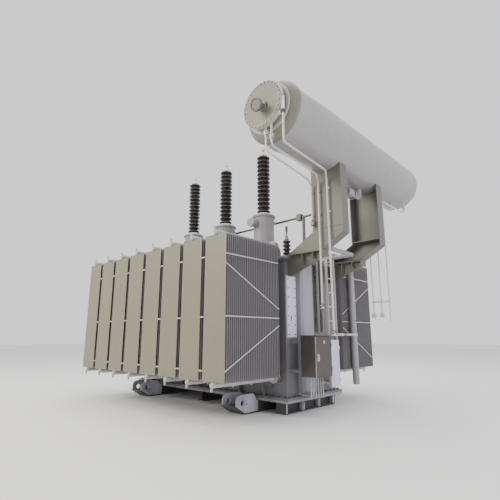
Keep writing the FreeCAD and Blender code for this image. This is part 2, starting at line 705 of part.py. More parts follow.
# ----------------------------------------------------------------- conservator
def conservator():
    """The oil drum along Y: a hollow shell, two dished heads and a bolted end."""
    inner = "drum_radius - drum_wall"
    shell = Piece("conservator_shell")
    shell.pad("XZ", ("drum_x", "drum_z", "-drum_half"), "drum_length",
              circles=[(0, 0, "drum_radius"), (0, 0, inner)])
    rear = Piece("conservator_rear_head")
    rear.revolve("YZ", (0, "drum_z", "drum_x"), [
        ("drum_half", 0), ("drum_half", "drum_radius"),
        ("drum_half + head_depth * 0.35", "drum_radius * 0.95"),
        ("drum_half + head_depth * 0.75", "drum_radius * 0.75"),
        ("drum_half + head_depth * 0.95", "drum_radius * 0.42"),
        ("drum_half + head_depth", "drum_radius * 0.12"), ("drum_half + head_depth", 0)], "H_Axis")
    front = Piece("conservator_front_head")
    front.revolve("YZ", (0, "drum_z", "drum_x"), [
        ("-drum_half", 0), ("-drum_half", "drum_radius"),
        ("-drum_half - head_depth * 0.35", "drum_radius * 0.96"),
        ("-drum_half - head_depth * 0.75", "drum_radius * 0.86"),
        ("-drum_half - head_depth * 0.9", "ring_radius"),
        ("-drum_half - head_depth * 0.9 - ring_thick", "ring_radius"),
        ("-drum_half - head_depth * 0.9 - ring_thick", "neck_radius"),
        ("neck_end", "neck_radius"), ("neck_end", 0)], "H_Axis")
    cover = Piece("conservator_end_cover")
    cover.revolve("YZ", (0, "drum_z", "drum_x"), [
        ("neck_end", 0), ("neck_end", "neck_radius + 18"),
        ("neck_end - end_cover_thick", "neck_radius + 18"),
        ("neck_end - end_cover_thick", 0)], "H_Axis")
    gauge_y = "neck_end - end_cover_thick"
    middle = (0, "drum_z + gauge_raise", "drum_x + gauge_side")
    boss = Piece()
    boss.revolve("YZ", middle, [
        (gauge_y, 0), (gauge_y, "gauge_boss_radius"),
        (gauge_y + " - gauge_boss", "gauge_boss_radius"), (gauge_y + " - gauge_boss", 0)],
        "H_Axis")
    stem, dial = "gauge_radius / 2", gauge_y + " - gauge_stem"
    gauge = Piece()
    gauge.revolve("YZ", middle, [
        (gauge_y + " - gauge_boss / 2", 0), (gauge_y + " - gauge_boss / 2", stem), (dial, stem),
        (dial, "gauge_radius"), (dial + " - gauge_depth", "gauge_radius"),
        (dial + " - gauge_depth", 0)], "H_Axis")
    pivot = Vector(0, size("neck_end") - size("end_cover_thick"),
                   size("drum_z") + size("gauge_raise"))
    gauge.body.Placement = Placement(Vector(), Rotation(Vector(1, 0, 0), size("gauge_tilt")), pivot)
    fuse([boss.body, gauge.body], "oil_level_gauge")


def conservator_leg():
    """A kinked channel leg, hollowed from its inner side above and below the knee plate."""
    foot_z, wall = "cover_top + arm_plate", "leg_plate"
    bend_x = "(leg_near_x - 0.45 * (leg_near_x - foot_near_x))"
    leg = Piece()
    leg.pad("XZ", (0, 0, "leg_y - leg_flange"), "leg_flange", [
        ("foot_near_x", foot_z), ("foot_far_x", foot_z), ("leg_far_x", "knee_z - knee_drop"),
        ("leg_far_x", "drum_z"), ("leg_near_x", "drum_z"), ("leg_near_x", "knee_z - 30"),
        (bend_x, "knee_z - 190")])
    hollows = [
        [("leg_near_x + leg_plate", "knee_z + leg_plate"),
         ("leg_far_x - leg_plate", "knee_z + leg_plate"),
         ("leg_far_x - leg_plate", "drum_z + 10"), ("leg_near_x + leg_plate", "drum_z + 10")],
        [("foot_near_x + 3 * leg_plate", foot_z + " + leg_plate"),
         ("foot_far_x - 0.5 * leg_plate", foot_z + " + leg_plate"),
         ("leg_far_x - leg_plate", "knee_z - knee_drop + 0.5 * leg_plate"),
         ("leg_far_x - leg_plate", "knee_z"), ("leg_near_x + leg_plate", "knee_z"),
         ("leg_near_x + leg_plate", "knee_z - 38"), (bend_x + " + 12", "knee_z - 206")],
    ]
    for hollow in hollows:
        leg.pocket("XZ", (0, 0, "leg_y - leg_flange"), "leg_flange - " + wall, hollow)
    drum = rod("Y", "drum_x", "-drum_half", "drum_z", "drum_radius + seat_gap", "drum_length")
    return cut(leg.body, drum, "front_leg")


def legs():
    mirrored(conservator_leg(), Vector(0, 1, 0), "rear_leg")


def bracket():
    """A cantilever arm from the tank's end wall: top plate, web, ribs and tip plate."""
    middle = "-(leg_y - leg_flange / 2)"
    low_y = "%s - arm_width / 2" % middle
    wall = "half_length"
    arm = Piece("front_bracket")
    arm.pad("XY", (0, 0, "cover_top"), "arm_plate",
            rectangle("half_length - arm_lap", low_y, "arm_end_x", low_y + " + arm_width"))
    web = [(wall + " + rim_out", "cover_top"), (wall + " + rim_out", "cover_under - rim_plate"),
           (wall, "cover_under - rim_plate"), (wall, "cover_top - arm_depth"),
           (wall + " + 90", "cover_top - arm_depth"),
           ("arm_end_x", "cover_top - arm_tip_depth"), ("arm_end_x", "cover_top")]
    arm.pad("XZ", (0, 0, "-(%s) - arm_plate / 2" % middle), "arm_plate", web)
    for share in ("0.42", "0.72"):
        x = "%s + rim_out + %s * (arm_end_x - half_length - rim_out)" % (wall, share)
        drop = "(arm_tip_depth + (1 - %s) * (arm_depth - arm_tip_depth) - 60)" % share
        arm.pad("XZ", (0, 0, "-(%s) - arm_width / 2 + 10" % middle), "arm_width - 20",
                [(x, "cover_top"), (x, "cover_top - " + drop), (x + " + 12", "cover_top - " + drop),
                 (x + " + 12", "cover_top")])
    arm.pad("XY", (0, 0, "cover_top - arm_tip_depth"), "arm_tip_depth",
            rectangle("arm_end_x - 14", low_y, "arm_end_x", low_y + " + arm_width"))
    return arm.body


def brackets():
    mirrored(bracket(), Vector(0, 1, 0), "rear_bracket")


# ----------------------------------------------------------------------- pipes
def oil_pipes():
    """The main pipe from the cover through the gas relay to the drum."""
    radius = size("main_pipe_radius")
    bend = 1.5 * radius
    x, low, high = size("main_pipe_x"), size("main_pipe_low"), size("relay_z")
    drum_x, front_y = size("drum_x"), size("main_pipe_y")
    half_relay = size("relay_width") / 2
    inlet_x = size("half_length") - 170
    rear_y = size("main_pipe_rear_y")
    upper = tube([(drum_x, half_relay, high), (drum_x, rear_y, high),
                  (drum_x, rear_y, size("drum_bottom") + 3)], radius, bend)
    drum = Part.makeCylinder(size("drum_radius") + size("seat_gap"), size("drum_length"),
                             Vector(drum_x, -size("drum_half"), size("drum_z")), Vector(0, 1, 0))
    upper = upper.cut(drum)
    lower = tube([(drum_x, -half_relay, high), (drum_x, front_y, high), (x, front_y, high),
                  (x, front_y, low), (x, rear_y, low), (inlet_x, rear_y, low),
                  (inlet_x, rear_y, size("cover_top"))], radius, bend)
    foot = Part.makeCylinder(1.9 * radius, 30, Vector(inlet_x, rear_y, size("cover_top")))
    ready([upper, lower.fuse(foot)], "main_oil_pipe")


def gas_relay():
    """A cast relay body between two flanges, with a domed test head."""
    half, z = size("relay_width") / 2, size("relay_z")
    x, height = size("drum_x"), size("relay_height")
    flange = 2.1 * size("main_pipe_radius")
    body = Part.makeBox(0.8 * height, 2 * half - 40, 0.8 * height,
                        Vector(x - 0.4 * height, 20 - half, z - 0.55 * height))
    flanges = [Part.makeCylinder(flange, 22, Vector(x, y, z), Vector(0, 1, 0))
               for y in (-half, half - 22)]
    head = Part.makeCylinder(45, 60, Vector(x, 0, z + 0.2 * height))
    ready([body.multiFuse(flanges + [head])], "gas_relay")


def gas_header():
    """The gas-collecting pipe behind the turrets, its stubs and its post."""
    radius, y = size("gas_pipe_radius"), size("gas_pipe_y")
    z = size("cover_top") + size("turret_height") - size("gas_pipe_drop")
    post_x, clear = size("post_x"), 0.5 * radius
    first_x = size("bushing_first_x")
    last_x = first_x - 2 * size("bushing_pitch")
    front_y = size("main_pipe_y") + size("main_pipe_radius")
    main = tube([(last_x - 60, y, z), (size("main_pipe_x"), y, z),
                 (size("main_pipe_x"), front_y, z)], radius, 3 * radius)
    parts = []
    for step in range(3):
        x = first_x - step * size("bushing_pitch")
        reach = y - size("bushing_y") - size("turret_radius")
        parts.append(Part.makeCylinder(0.8 * radius, reach,
                                       Vector(x, size("bushing_y") + size("turret_radius"), z),
                                       Vector(0, 1, 0)))
    parts.append(Part.makeCylinder(1.3 * radius, z - size("cover_top"),
                                   Vector(post_x, y, size("cover_top"))))
    parts.append(Part.makeBox(110, 5 * radius - clear, 130,
                              Vector(post_x - 150, y - 2.25 * radius, z - 65)))
    ready([main.multiFuse(parts)], "gas_header_pipe")


def down_pipes():
    """Three small pipes from the drum's end, under the drum and down the front leg."""
    radius = size("down_pipe_radius")
    leg_face = -size("leg_y") - radius - size("pipe_clear")
    neck_y = size("neck_end") + 60
    neck_z = size("drum_z") - size("neck_radius")
    drum_x, low = size("drum_x"), size("drum_bottom") - 190
    side_x = drum_x + size("neck_radius") + radius
    start = neck_z + 35
    routes = [
        [(drum_x + 14, neck_y, start), (drum_x + 14, neck_y, low - 28),
         (drum_x - 250, leg_face - 160, low + 32), (drum_x - 290, leg_face, low - 38),
         (drum_x - 290, leg_face, size("knee_z") + 60)],
        [(drum_x + 126, neck_y, start), (drum_x + 126, neck_y, low + 24),
         (drum_x - 60, leg_face - 170, low + 74), (drum_x - 140, leg_face, low - 6),
         (drum_x - 150, leg_face, 1800)],
        [(side_x, neck_y - 30, size("drum_z") + 10), (side_x, neck_y - 30, low - 16),
         (drum_x + 130, leg_face - 170, low + 95), (drum_x + 40, leg_face, low + 15),
         (drum_x + 60, leg_face, 1350)],
    ]
    pipes = []
    neck = Part.makeCylinder(size("neck_radius"), 400, Vector(drum_x, size("neck_end"),
                             size("drum_z")), Vector(0, 1, 0))
    for number, route in enumerate(routes):
        pipe = tube(route, radius, 4 * radius)
        end = Vector(*route[-1])
        parts = [ball_valve((end.x, end.y, end.z + 60), (0, 0, 1), radius)]
        if number < 2:
            top = Vector(*route[0])
            drop = 130 + 95 * number
            parts.append(ball_valve((top.x, top.y, top.z - drop), (0, 0, 1), radius))
        else:
            parts.append(Part.makeBox(side_x - drum_x - 250, 40, 40,
                                      Vector(drum_x + 250, neck_y - 50, size("drum_z") - 267)))
        for z in (size("knee_z") + 260, size("knee_z") + 700):
            parts.append(Part.makeBox(30, size("pipe_clear") + radius, 24,
                                      Vector(end.x - 15, leg_face, z)))
        pipes.append(pipe.multiFuse(parts).cut(neck))
    ready(pipes, "conservator_down_pipes")


def rear_pipes():
    """Three thin pipes from the drum's rear half, down behind the rear leg."""
    radius = size("rear_pipe_radius")
    y, drum_x, low = size("rear_pipe_y"), size("drum_x"), size("drum_bottom") - 190
    drum = Part.makeCylinder(size("drum_radius") + size("seat_gap"), size("drum_length"),
                             Vector(drum_x, -size("drum_half"), size("drum_z")), Vector(0, 1, 0))
    plan = [(-100, 1500, 1740), (70, 1800, 1740), (240, 2100, 1660)]
    parts = []
    for offset, start_y, end_z in plan:
        x = drum_x + offset
        top = size("drum_bottom") + 0.5 * offset ** 2 / size("drum_radius")
        parts.append(tube([(x, start_y, top + 30), (x, start_y, low), (x, y, low), (x, y, end_z)],
                          radius, 5 * radius).cut(drum))
        parts.append(Part.makeCylinder(2.2 * radius, 60, Vector(x, start_y, low + 90)))
        if offset < 200:
            parts.append(ball_valve((x, y, end_z + 30), (1, 0, 0), 1.4 * radius))
        parts.append(Part.makeBox(30, y - size("leg_y"), 24,
                                  Vector(x - 15, size("leg_y"), size("knee_z") + 300)))
    bar = Part.makeBox(400, 8, 30, Vector(drum_x - 130, y - radius - 6, 2030))
    ready([parts[0].multiFuse(parts[1:] + [bar])], "rear_down_pipes")


def duct_place():
    """The upright run of the relief duct: its x and y."""
    return size("half_length") + size("duct_offset"), size("duct_y")


def relief_valve():
    """The pressure relief valve on the cover: flange, body and domed cap."""
    radius, height = size("relief_radius"), size("relief_height")
    place = Vector(size("relief_x"), size("relief_y"), size("cover_top"))
    foot = Part.makeCylinder(radius, 24, place)
    body = Part.makeCylinder(0.8 * radius, height, place)
    cap = Part.makeCone(0.92 * radius, 0.5 * radius, 40, place + Vector(0, 0, height))
    ready([foot.multiFuse([body, cap])], "relief_valve")


def relief_duct():
    """The duct that leads blown-off oil from the relief valve down to the ground."""
    radius, collar = size("duct_radius"), size("duct_collar")
    x, y = duct_place()
    z, end = size("duct_z"), size("duct_end")
    valve_x, valve_y = size("relief_x"), size("relief_y")
    pipe = tube([(valve_x, valve_y, z), (x, valve_y, z), (x, y, z), (x, y, end)],
                radius, 1.7 * radius)
    collars = [Part.makeCylinder(radius + collar, 2 * collar, Vector(x, y, place))
               for place in (z - 320, (z + end) / 2)]
    valve = Part.makeCylinder(0.8 * size("relief_radius") + size("seat_gap"), 1000,
                              Vector(valve_x, valve_y, size("cover_top")))
    mouth = Part.makeCylinder(radius - size("duct_wall"), 2 * radius, Vector(x, y, end - 1))
    ready([pipe.multiFuse(collars).cut(valve).cut(mouth)], "relief_duct")


def drain_pipes():
    """A level pipe that also steadies the relief duct, and a short drain stub."""
    radius, wall, z = size("drain_radius"), size("half_length"), size("drain_z")
    y = size("ladder_high_y") + 110
    duct_x, duct_y = duct_place()
    reach = size("duct_radius") + size("seat_gap")
    level = tube([(wall, y, z), (duct_x, y, z), (duct_x, duct_y, z)], radius, 2.2 * radius)
    union = Part.makeCylinder(1.4 * radius, 60, Vector(duct_x, y + 160, z), Vector(0, 1, 0))
    clamp = Part.makeCylinder(reach + 10, 2 * radius, Vector(duct_x, duct_y, z - radius))
    duct = Part.makeCylinder(reach, 4 * radius, Vector(duct_x, duct_y, z - 2 * radius))
    stub = Part.makeCylinder(1.8 * radius, 150, Vector(wall, y + 15, 850), Vector(1, 0, 0))
    ready([level.multiFuse([union, clamp]).cut(duct), stub], "drain_pipes")


# --------------------------------------------------------------------- cabinet
def cabinet():
    """A sheet-metal control cabinet, open at the front, on two pairs of arms."""
    low_y = "cabinet_y - cabinet_width / 2"
    wall = "cabinet_wall"
    outer = box("cabinet_back", low_y, "cabinet_bottom", "cabinet_depth", "cabinet_width",
                "cabinet_height")
    hollow = box("cabinet_back + " + wall, low_y + " + " + wall, "cabinet_bottom + " + wall,
                 "cabinet_depth", "cabinet_width - 2 * " + wall, "cabinet_height - 2 * " + wall)
    hood = box("cabinet_back - 10", low_y + " - 8", "cabinet_bottom + cabinet_height",
               "cabinet_depth + door_gap + door_thick + 20", "cabinet_width + 16", 14)
    parts = [cut(outer, hollow), hood]
    for z in DOOR_HINGES:
        parts += hinge_lug(DOOR_AXIS_X, DOOR_AXIS_Y, "cabinet_front - 30",
                           low_y + " + cabinet_width - 1", z)
    fuse(parts, "cabinet_body")
    arms = []
    for z in ("cabinet_bottom + 60", "cabinet_bottom + cabinet_height - 130"):
        arms.append(box("half_length", low_y + " + 30", z, "cabinet_offset",
                        "arm_bar", "arm_bar"))
        arms.append(box("half_length + column_out", low_y + " + cabinet_width - 30 - arm_bar", z,
                        "cabinet_offset - column_out", "arm_bar", "arm_bar"))
    gather(arms, "cabinet_arms")
    conduits = []
    for step in range(6):
        y = "%s + 70 + %d * (cabinet_width - 140) / 5" % (low_y, step)
        conduits.append(rod("Z", "cabinet_back + cabinet_depth / 2", y,
                            "base_height + flange_plate", "conduit_radius",
                            "cabinet_bottom - base_height - flange_plate"))
    shelf = box("half_length + column_out", low_y + " + 50", "base_height + flange_plate + 60",
                "cabinet_offset - column_out + cabinet_depth / 2 + conduit_radius",
                "cabinet_width - 100", 8)
    fuse(conduits + [shelf], "cabinet_conduits")


def hinge_lug(axis_x, axis_y, foot_x, side_y, z):
    """The fixed half of a hinge: a lug from the side and its upright pin."""
    return [
        box(foot_x, side_y, z + " - lug_thick", "%s + hinge_pin - (%s)" % (axis_x, foot_x),
            "%s + hinge_pin - (%s)" % (axis_y, side_y), "lug_thick"),
        rod("Z", axis_x, axis_y, z + " - lug_thick / 2", "hinge_pin",
            "lug_thick / 2 + knuckle_length + 4"),
    ]


def hinge_knuckles(sheet, axis_x, axis_y, leaf_low_y, heights, name):
    """The moving half: knuckles on leaves, bored to run on the pins."""
    parts, bores = [sheet], []
    for z in heights:
        low = z + " + hinge_play"
        parts.append(rod("Z", axis_x, axis_y, low, "hinge_pin + 4", "knuckle_length"))
        parts.append(box(axis_x + " - 3", leaf_low_y, low, 6,
                         "%s - (%s)" % (axis_y, leaf_low_y), "knuckle_length"))
        bores.append(rod("Z", axis_x, axis_y, low + " - 5", "hinge_pin + pin_play",
                         "knuckle_length + 10"))
    cut(fuse(parts), fuse(bores), name)


DOOR_AXIS_X = "(cabinet_front + door_gap + door_thick / 2)"
DOOR_AXIS_Y = "(cabinet_y + cabinet_width / 2 + hinge_out)"
DOOR_HINGES = ["(cabinet_bottom + 0.15 * cabinet_height)", "(cabinet_bottom + 0.75 * cabinet_height)"]
GUARD_AXIS_X = "(rail_out + guard_gap)"
GUARD_AXIS_Y = "(ladder_high_y + hinge_out + 12)"
GUARD_HINGES = ["(guard_bottom + 0.12 * guard_height)", "(guard_bottom + 0.8 * guard_height)"]


def cabinet_door():
    """The front door on two knuckles at its +Y edge, with a lever handle and a vent."""
    low_y = "(cabinet_y - cabinet_width / 2)"
    front = "cabinet_front + door_gap"
    slab = box(front, low_y, "cabinet_bottom", "door_thick", "cabinet_width - door_inset",
               "cabinet_height - door_inset")
    hinge_knuckles(slab, DOOR_AXIS_X, DOOR_AXIS_Y, low_y + " + cabinet_width - door_inset - 2",
                   DOOR_HINGES, "cabinet_door")
    face = front + " + door_thick"
    plate = box(face, low_y + " + 35", "cabinet_bottom + 0.38 * cabinet_height",
                8, 34, "handle_length")
    lever = box(face + " + 8", low_y + " + 43", "cabinet_bottom + 0.38 * cabinet_height + 10",
                26, 18, "handle_length - 20")
    fuse([plate, lever], "cabinet_handle")
    rod("X", face, low_y + " + cabinet_width / 2", "cabinet_bottom + 0.85 * cabinet_height",
        26, 10, "cabinet_door_vent")


# ---------------------------------------------------------------------- ladder
def ladder():
    """A wall ladder on stand-offs, with rails, rungs and hooked tops."""
    rails_top = "cover_top + 80"
    parts = []
    for y in ("ladder_low_y", "ladder_high_y - rail_thick"):
        parts.append(box("ladder_x", y, "ladder_bottom", "rail_width", "rail_thick",
                         rails_top + " - ladder_bottom"))
        parts.append(box("half_length + rim_out - 120", y, rails_top + " - 40",
                         "ladder_x - half_length - rim_out + 120 + rail_width", "rail_thick", 40))
        parts.append(box("half_length + rim_out - 120", y, "cover_top", 40, "rail_thick", 80))
        for z in ("ladder_bottom + 60", "cover_top - 900"):
            parts.append(box("half_length", y, z, "ladder_offset + 5", "rail_thick", 40))
    count = int((size("cover_top") - size("ladder_bottom") - 100) // size("rung_pitch"))
    for step in range(count + 1):
        parts.append(rod("Y", "ladder_x + rail_width / 2", "ladder_low_y + rail_thick / 2",
                         "ladder_bottom + 120 + %d * rung_pitch" % step, "rung_radius",
                         "ladder_width - rail_thick"))
    for z in GUARD_HINGES:
        parts += hinge_lug(GUARD_AXIS_X, GUARD_AXIS_Y, "rail_out - 20", "ladder_high_y - 1", z)
    fuse(parts, "ladder")


def ladder_guard():
    """The anti-climb plate hinged beside the ladder's far rail, with a folded free edge."""
    x = GUARD_AXIS_X + " + 2"
    low_y = "(ladder_low_y - guard_lap)"
    wide = "(ladder_high_y - door_inset - %s)" % low_y
    sheet = box(x, low_y, "guard_bottom", "guard_thick", wide, "guard_height")
    fold = box(x + " + guard_thick - guard_fold", low_y, "guard_bottom",
               "guard_fold", "guard_thick", "guard_height")
    hinge_knuckles(fuse([sheet, fold]), GUARD_AXIS_X, GUARD_AXIS_Y,
                   "%s + %s - 2" % (low_y, wide), GUARD_HINGES, "ladder_guard")


def cable_tray():
    """A channel cable tray up the end wall, from the cabinet's height over the cover."""
    low_y = "tray_y - tray_width / 2"
    height = "cover_top + 60 - tray_bottom"
    outer = box("half_length + rim_out + 12", low_y, "tray_bottom", "tray_depth", "tray_width",
                height)
    hollow = box("half_length + rim_out + 12 + tray_wall", low_y + " + tray_wall",
                 "tray_bottom - 5", "tray_depth", "tray_width - 2 * tray_wall", height + " + 10")
    feet = []
    for z in ("tray_bottom + 80", "cover_top - 420"):
        feet.append(box("half_length", low_y + " + 20", z, "rim_out + 12", "tray_width - 40", 30))
    fuse([cut(outer, hollow)] + feet, "cable_tray")


def check_and_write():
    """Recompute, stop on any failed object, then write each sub-part's STEP file."""
    doc.recompute()
    failed = [thing.Label for thing in doc.Objects
              if any(word in str(thing.State) for word in ("Invalid", "Error"))]
    if failed:
        raise RuntimeError("failed objects: %s" % ", ".join(failed))
    os.makedirs("parts", exist_ok=True)
    for node in NODES:
        thing = doc.getObjectsByLabel(node)[0]
        shape = thing.Shape
        if shape.isNull() or not shape.isValid() or not shape.Solids:
            raise RuntimeError("%s has no valid shape" % node)
        shape.exportStep("parts/%s.step" % node)
        print("%-26s solids %3d  volume %10.1f cm3" % (node, len(shape.Solids),
                                                       shape.Volume / 1000))


NODES = [
    "base_plate", "end_beams", "towing_skids", "middle_skid",
    "tank_bell", "tank_cover", "side_ribs", "end_columns", "hand_hole_cover", "jacking_lugs",
    "front_radiators", "rear_radiators", "front_radiator_valves", "rear_radiator_valves",
    "front_radiator_braces", "rear_radiator_braces",
    "hv_turrets", "hv_bushing_flanges", "hv_porcelains", "hv_terminals", "ct_terminal_box",
    "small_bushing_flange", "small_bushing_porcelain", "small_bushing_terminal",
    "conservator_shell", "conservator_front_head", "conservator_rear_head",
    "conservator_end_cover", "oil_level_gauge", "front_leg", "rear_leg",
    "front_bracket", "rear_bracket", "main_oil_pipe", "gas_relay", "gas_header_pipe",
    "conservator_down_pipes", "rear_down_pipes", "drain_pipes", "relief_valve", "relief_duct",
    "cabinet_body", "cabinet_arms", "cabinet_conduits", "cabinet_door", "cabinet_handle",
    "cabinet_door_vent", "ladder", "ladder_guard", "cable_tray",
]

base_plate()
end_beams()
towing_skids()
middle_skid()
tank_bell()
tank_cover()
side_ribs()
end_columns()
hand_hole_cover()
jacking_lugs()
radiators()
radiator_valves()
radiator_braces()
turrets()
bushing_cups()
porcelains()
terminals()
ct_terminal_box()
small_bushing()
conservator()
legs()
brackets()
oil_pipes()
gas_relay()
gas_header()
down_pipes()
rear_pipes()
relief_valve()
relief_duct()
drain_pipes()
cabinet()
cabinet_door()
ladder()
ladder_guard()
cable_tray()
check_and_write()
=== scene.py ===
"""The look of an oil-filled power transformer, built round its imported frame.

Metres, +Z up.  +X points to the conservator end and -Y to the high-voltage side.
Most places are worked out from the boxes of the frame's nodes.
"""

import math

import bmesh
import bpy
from bpy.props import FloatProperty, FloatVectorProperty, IntProperty, PointerProperty
from mathutils import Matrix, Vector


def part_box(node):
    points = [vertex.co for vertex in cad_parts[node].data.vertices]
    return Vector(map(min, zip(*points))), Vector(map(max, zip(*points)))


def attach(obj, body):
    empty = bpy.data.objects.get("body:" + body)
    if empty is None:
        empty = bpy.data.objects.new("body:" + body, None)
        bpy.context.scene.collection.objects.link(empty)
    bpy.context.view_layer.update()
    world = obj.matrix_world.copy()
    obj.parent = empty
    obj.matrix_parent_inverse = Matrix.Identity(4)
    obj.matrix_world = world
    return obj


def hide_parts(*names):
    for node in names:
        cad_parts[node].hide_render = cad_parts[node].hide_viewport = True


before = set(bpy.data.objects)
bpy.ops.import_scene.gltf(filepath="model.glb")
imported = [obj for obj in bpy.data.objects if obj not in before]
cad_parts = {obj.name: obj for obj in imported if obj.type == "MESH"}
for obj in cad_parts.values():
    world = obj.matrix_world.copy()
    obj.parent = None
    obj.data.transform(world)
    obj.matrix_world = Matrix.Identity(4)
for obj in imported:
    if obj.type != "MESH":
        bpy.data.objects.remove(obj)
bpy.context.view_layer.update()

bl_info = {
    "name": "Power transformer finish",
    "version": (1, 0, 0),
    "blender": (4, 5, 0),
    "location": "View3D > Sidebar > Transformer",
    "description": "Builds the visible pieces and finishes of a power transformer",
    "category": "Object",
}

FIXED, DOOR, GUARD = "transformer", "door_leaf", "guard_leaf"
X, Y, Z = Vector((1, 0, 0)), Vector((0, 1, 0)), Vector((0, 0, 1))
SIDES = (-1, 1)


# ------------------------------------------------------------------- settings
def length(label, text, default):
    return FloatProperty(name=label, description=text, default=default, min=0.0001,
                         unit="LENGTH", subtype="DISTANCE")


def colour(label, text, default):
    return FloatVectorProperty(name=label, description=text, default=default, size=3,
                               min=0.0, max=1.0, subtype="COLOR")


class TransformerSizes(bpy.types.PropertyGroup):
    """Sizes of the details that the finish adds to the frame."""

    radiators: IntProperty(name="Radiators", description="Radiators in each bank", default=8)
    panels: IntProperty(name="Panels", description="Pressed panels in each radiator", default=30)
    channels: IntProperty(name="Channels", description="Oil channels in each panel", default=7)
    panel_width: length("Panel width", "Width of one pressed panel", 0.52)
    panel_thick: length("Panel thickness", "Thickness over a panel's channels", 0.012)
    panel_pitch: length("Panel pitch", "Distance from panel to panel", 0.045)
    seam_thick: length("Seam thickness", "Thickness of a panel's welded seams", 0.005)
    header_radius: length("Header radius", "Radius of the radiator header pipes", 0.0445)
    bushings: IntProperty(name="Bushings", description="High-voltage bushings", default=3)
    sheds: IntProperty(name="Sheds", description="Large sheds on each porcelain", default=14)
    bolt: length("Flange bolt", "Across-corner radius of a flange bolt's head", 0.019)
    small_bolt: length("Small bolt", "Across-corner radius of a small bolt's head", 0.011)
    foot_pitch: length("Foot bolt pitch", "Distance between the foot flange's bolts", 0.152)
    rim_pitch: length("Rim bolt pitch", "Distance between the cover's bolts", 0.128)
    slot_pitch: length("Slot pitch", "Distance between the cable tray's slots", 0.062)


class TransformerColours(bpy.types.PropertyGroup):
    """Base colours of the finishes; several of them hold painted light and shade, as noted at each.
    """

    tank: colour("Tank paint", "Enamel on the tank", (0.30, 0.295, 0.305))
    # The tank walls' colour is painted shade: a darker copy of the tank paint, for walls that stand
    # in shadow.
    bell: colour("Tank walls", "Enamel on the tank's walls", (0.140, 0.137, 0.153))
    # The radiator colour's khaki tint is painted warm light on the radiators' front faces.
    radiator: colour("Radiator paint", "Enamel on the radiators", (0.190, 0.175, 0.120))
    # The fin colour is painted shade: the dark gaps between the radiator panels.
    fin: colour("Fin paint", "Enamel between the radiator panels", (0.200, 0.192, 0.205))
    # The fin edge colour is painted light: pale lit edges of the panels between the dark gaps.
    fin_edge: colour("Fin edge", "Enamel on the panels' welded edges", (0.36, 0.345, 0.38))
    # The column colour's pale lilac is a painted reflection of cool light on the columns and base
    # plate.
    column: colour("Column paint", "Enamel on the end columns", (0.30, 0.29, 0.33))
    brace: colour("Brace paint", "Enamel on braces and headers", (0.42, 0.41, 0.40))
    drum: colour("Drum paint", "Enamel on the conservator", (0.30, 0.292, 0.296))
    # The head colour is painted shade with a painted warm-light tint: a darker olive copy of the
    # drum paint on the drum's near end.
    head: colour("Head paint", "Enamel on the conservator's bolted end", (0.165, 0.158, 0.117))
    # The leg colour is painted shade with a painted warm-light tint: a dark olive copy of the tank
    # paint.
    leg: colour("Leg paint", "Enamel on the conservator's legs", (0.104, 0.101, 0.083))
    pipe: colour("Pipe paint", "Enamel on the small pipes", (0.62, 0.60, 0.55))
    # The skid colour is painted shade: the ground frame's steel in shadow under the tank.
    skid: colour("Skid paint", "Dark enamel on the ground frame", (0.035, 0.034, 0.036))
    # The web colour's pale lilac is painted light on the same steel: lit towing lugs, collars and
    # stiffeners.
    web: colour("Web paint", "Pale enamel on the towing webs", (0.50, 0.50, 0.60))
    # The guard colour's pale lilac is painted cool light on faces that look toward +X.
    guard: colour("Guard paint", "Pale enamel on the ladder guard", (0.62, 0.59, 0.74))
    porcelain: colour("Porcelain", "Brown glaze", (0.022, 0.019, 0.017))
    casting: colour("Casting", "Bare aluminium castings", (0.62, 0.61, 0.58))
    zinc: colour("Zinc", "Galvanised bolts and clips", (0.40, 0.40, 0.41))
    copper: colour("Tinned copper", "Terminal studs", (0.58, 0.44, 0.40))
    stainless: colour("Stainless", "Brushed cabinet sheet", (0.076, 0.064, 0.060))
    floor: colour("Floor", "Pale studio floor", (0.80, 0.80, 0.79))


def sizes():
    return bpy.context.scene.transformer_sizes


def colours():
    return bpy.context.scene.transformer_colours


# --------------------------------------------------------------- shader groups
GREY = (0.5, 0.5, 0.5, 1.0)
PATCH = (0.20, 0.19, 0.17, 1.0)
STREAK = (0.16, 0.15, 0.13, 1.0)
DUST = (0.42, 0.39, 0.33, 1.0)
GRIME = (0.055, 0.05, 0.045, 1.0)
BLOTCH = (0.10, 0.095, 0.09, 1.0)
DRAWN_LINE = (0.62, 0.60, 0.57, 1.0)
SURFACE = (("Color", GREY), ("Roughness", 0.4), ("Height", 0.0))
BUMP_REACH = 0.0006


def add(tree, kind, inputs=None, **settings):
    """A node whose inputs are given as numbers or as sockets to link from."""
    node = tree.nodes.new(kind)
    for name, value in settings.items():
        setattr(node, name, value)
    for name, value in (inputs or {}).items():
        socket = node.inputs[name]
        if isinstance(value, bpy.types.NodeSocket):
            tree.links.new(value, socket)
        else:
            socket.default_value = value
    return node


def maths(tree, operation, first, second=0.5, clamp=False):
    return add(tree, "ShaderNodeMath", {0: first, 1: second}, operation=operation,
               use_clamp=clamp).outputs[0]


def times(tree, first, second):
    return maths(tree, "MULTIPLY", first, second)


def plus(tree, first, second, clamp=False):
    return maths(tree, "ADD", first, second, clamp)


def mixed(tree, share, first, second):
    return add(tree, "ShaderNodeMix", {0: share, 6: first, 7: second},
               data_type="RGBA").outputs[2]


def remap(tree, value, low, high, to_low=0.0, to_high=1.0):
    return add(tree, "ShaderNodeMapRange", {"Value": value, "From Min": low, "From Max": high,
                                            "To Min": to_low, "To Max": to_high}).outputs[0]


def place_of(tree):
    return add(tree, "ShaderNodeTexCoord").outputs["Object"]


def parts_of(tree, vector):
    return add(tree, "ShaderNodeSeparateXYZ", {0: vector}).outputs


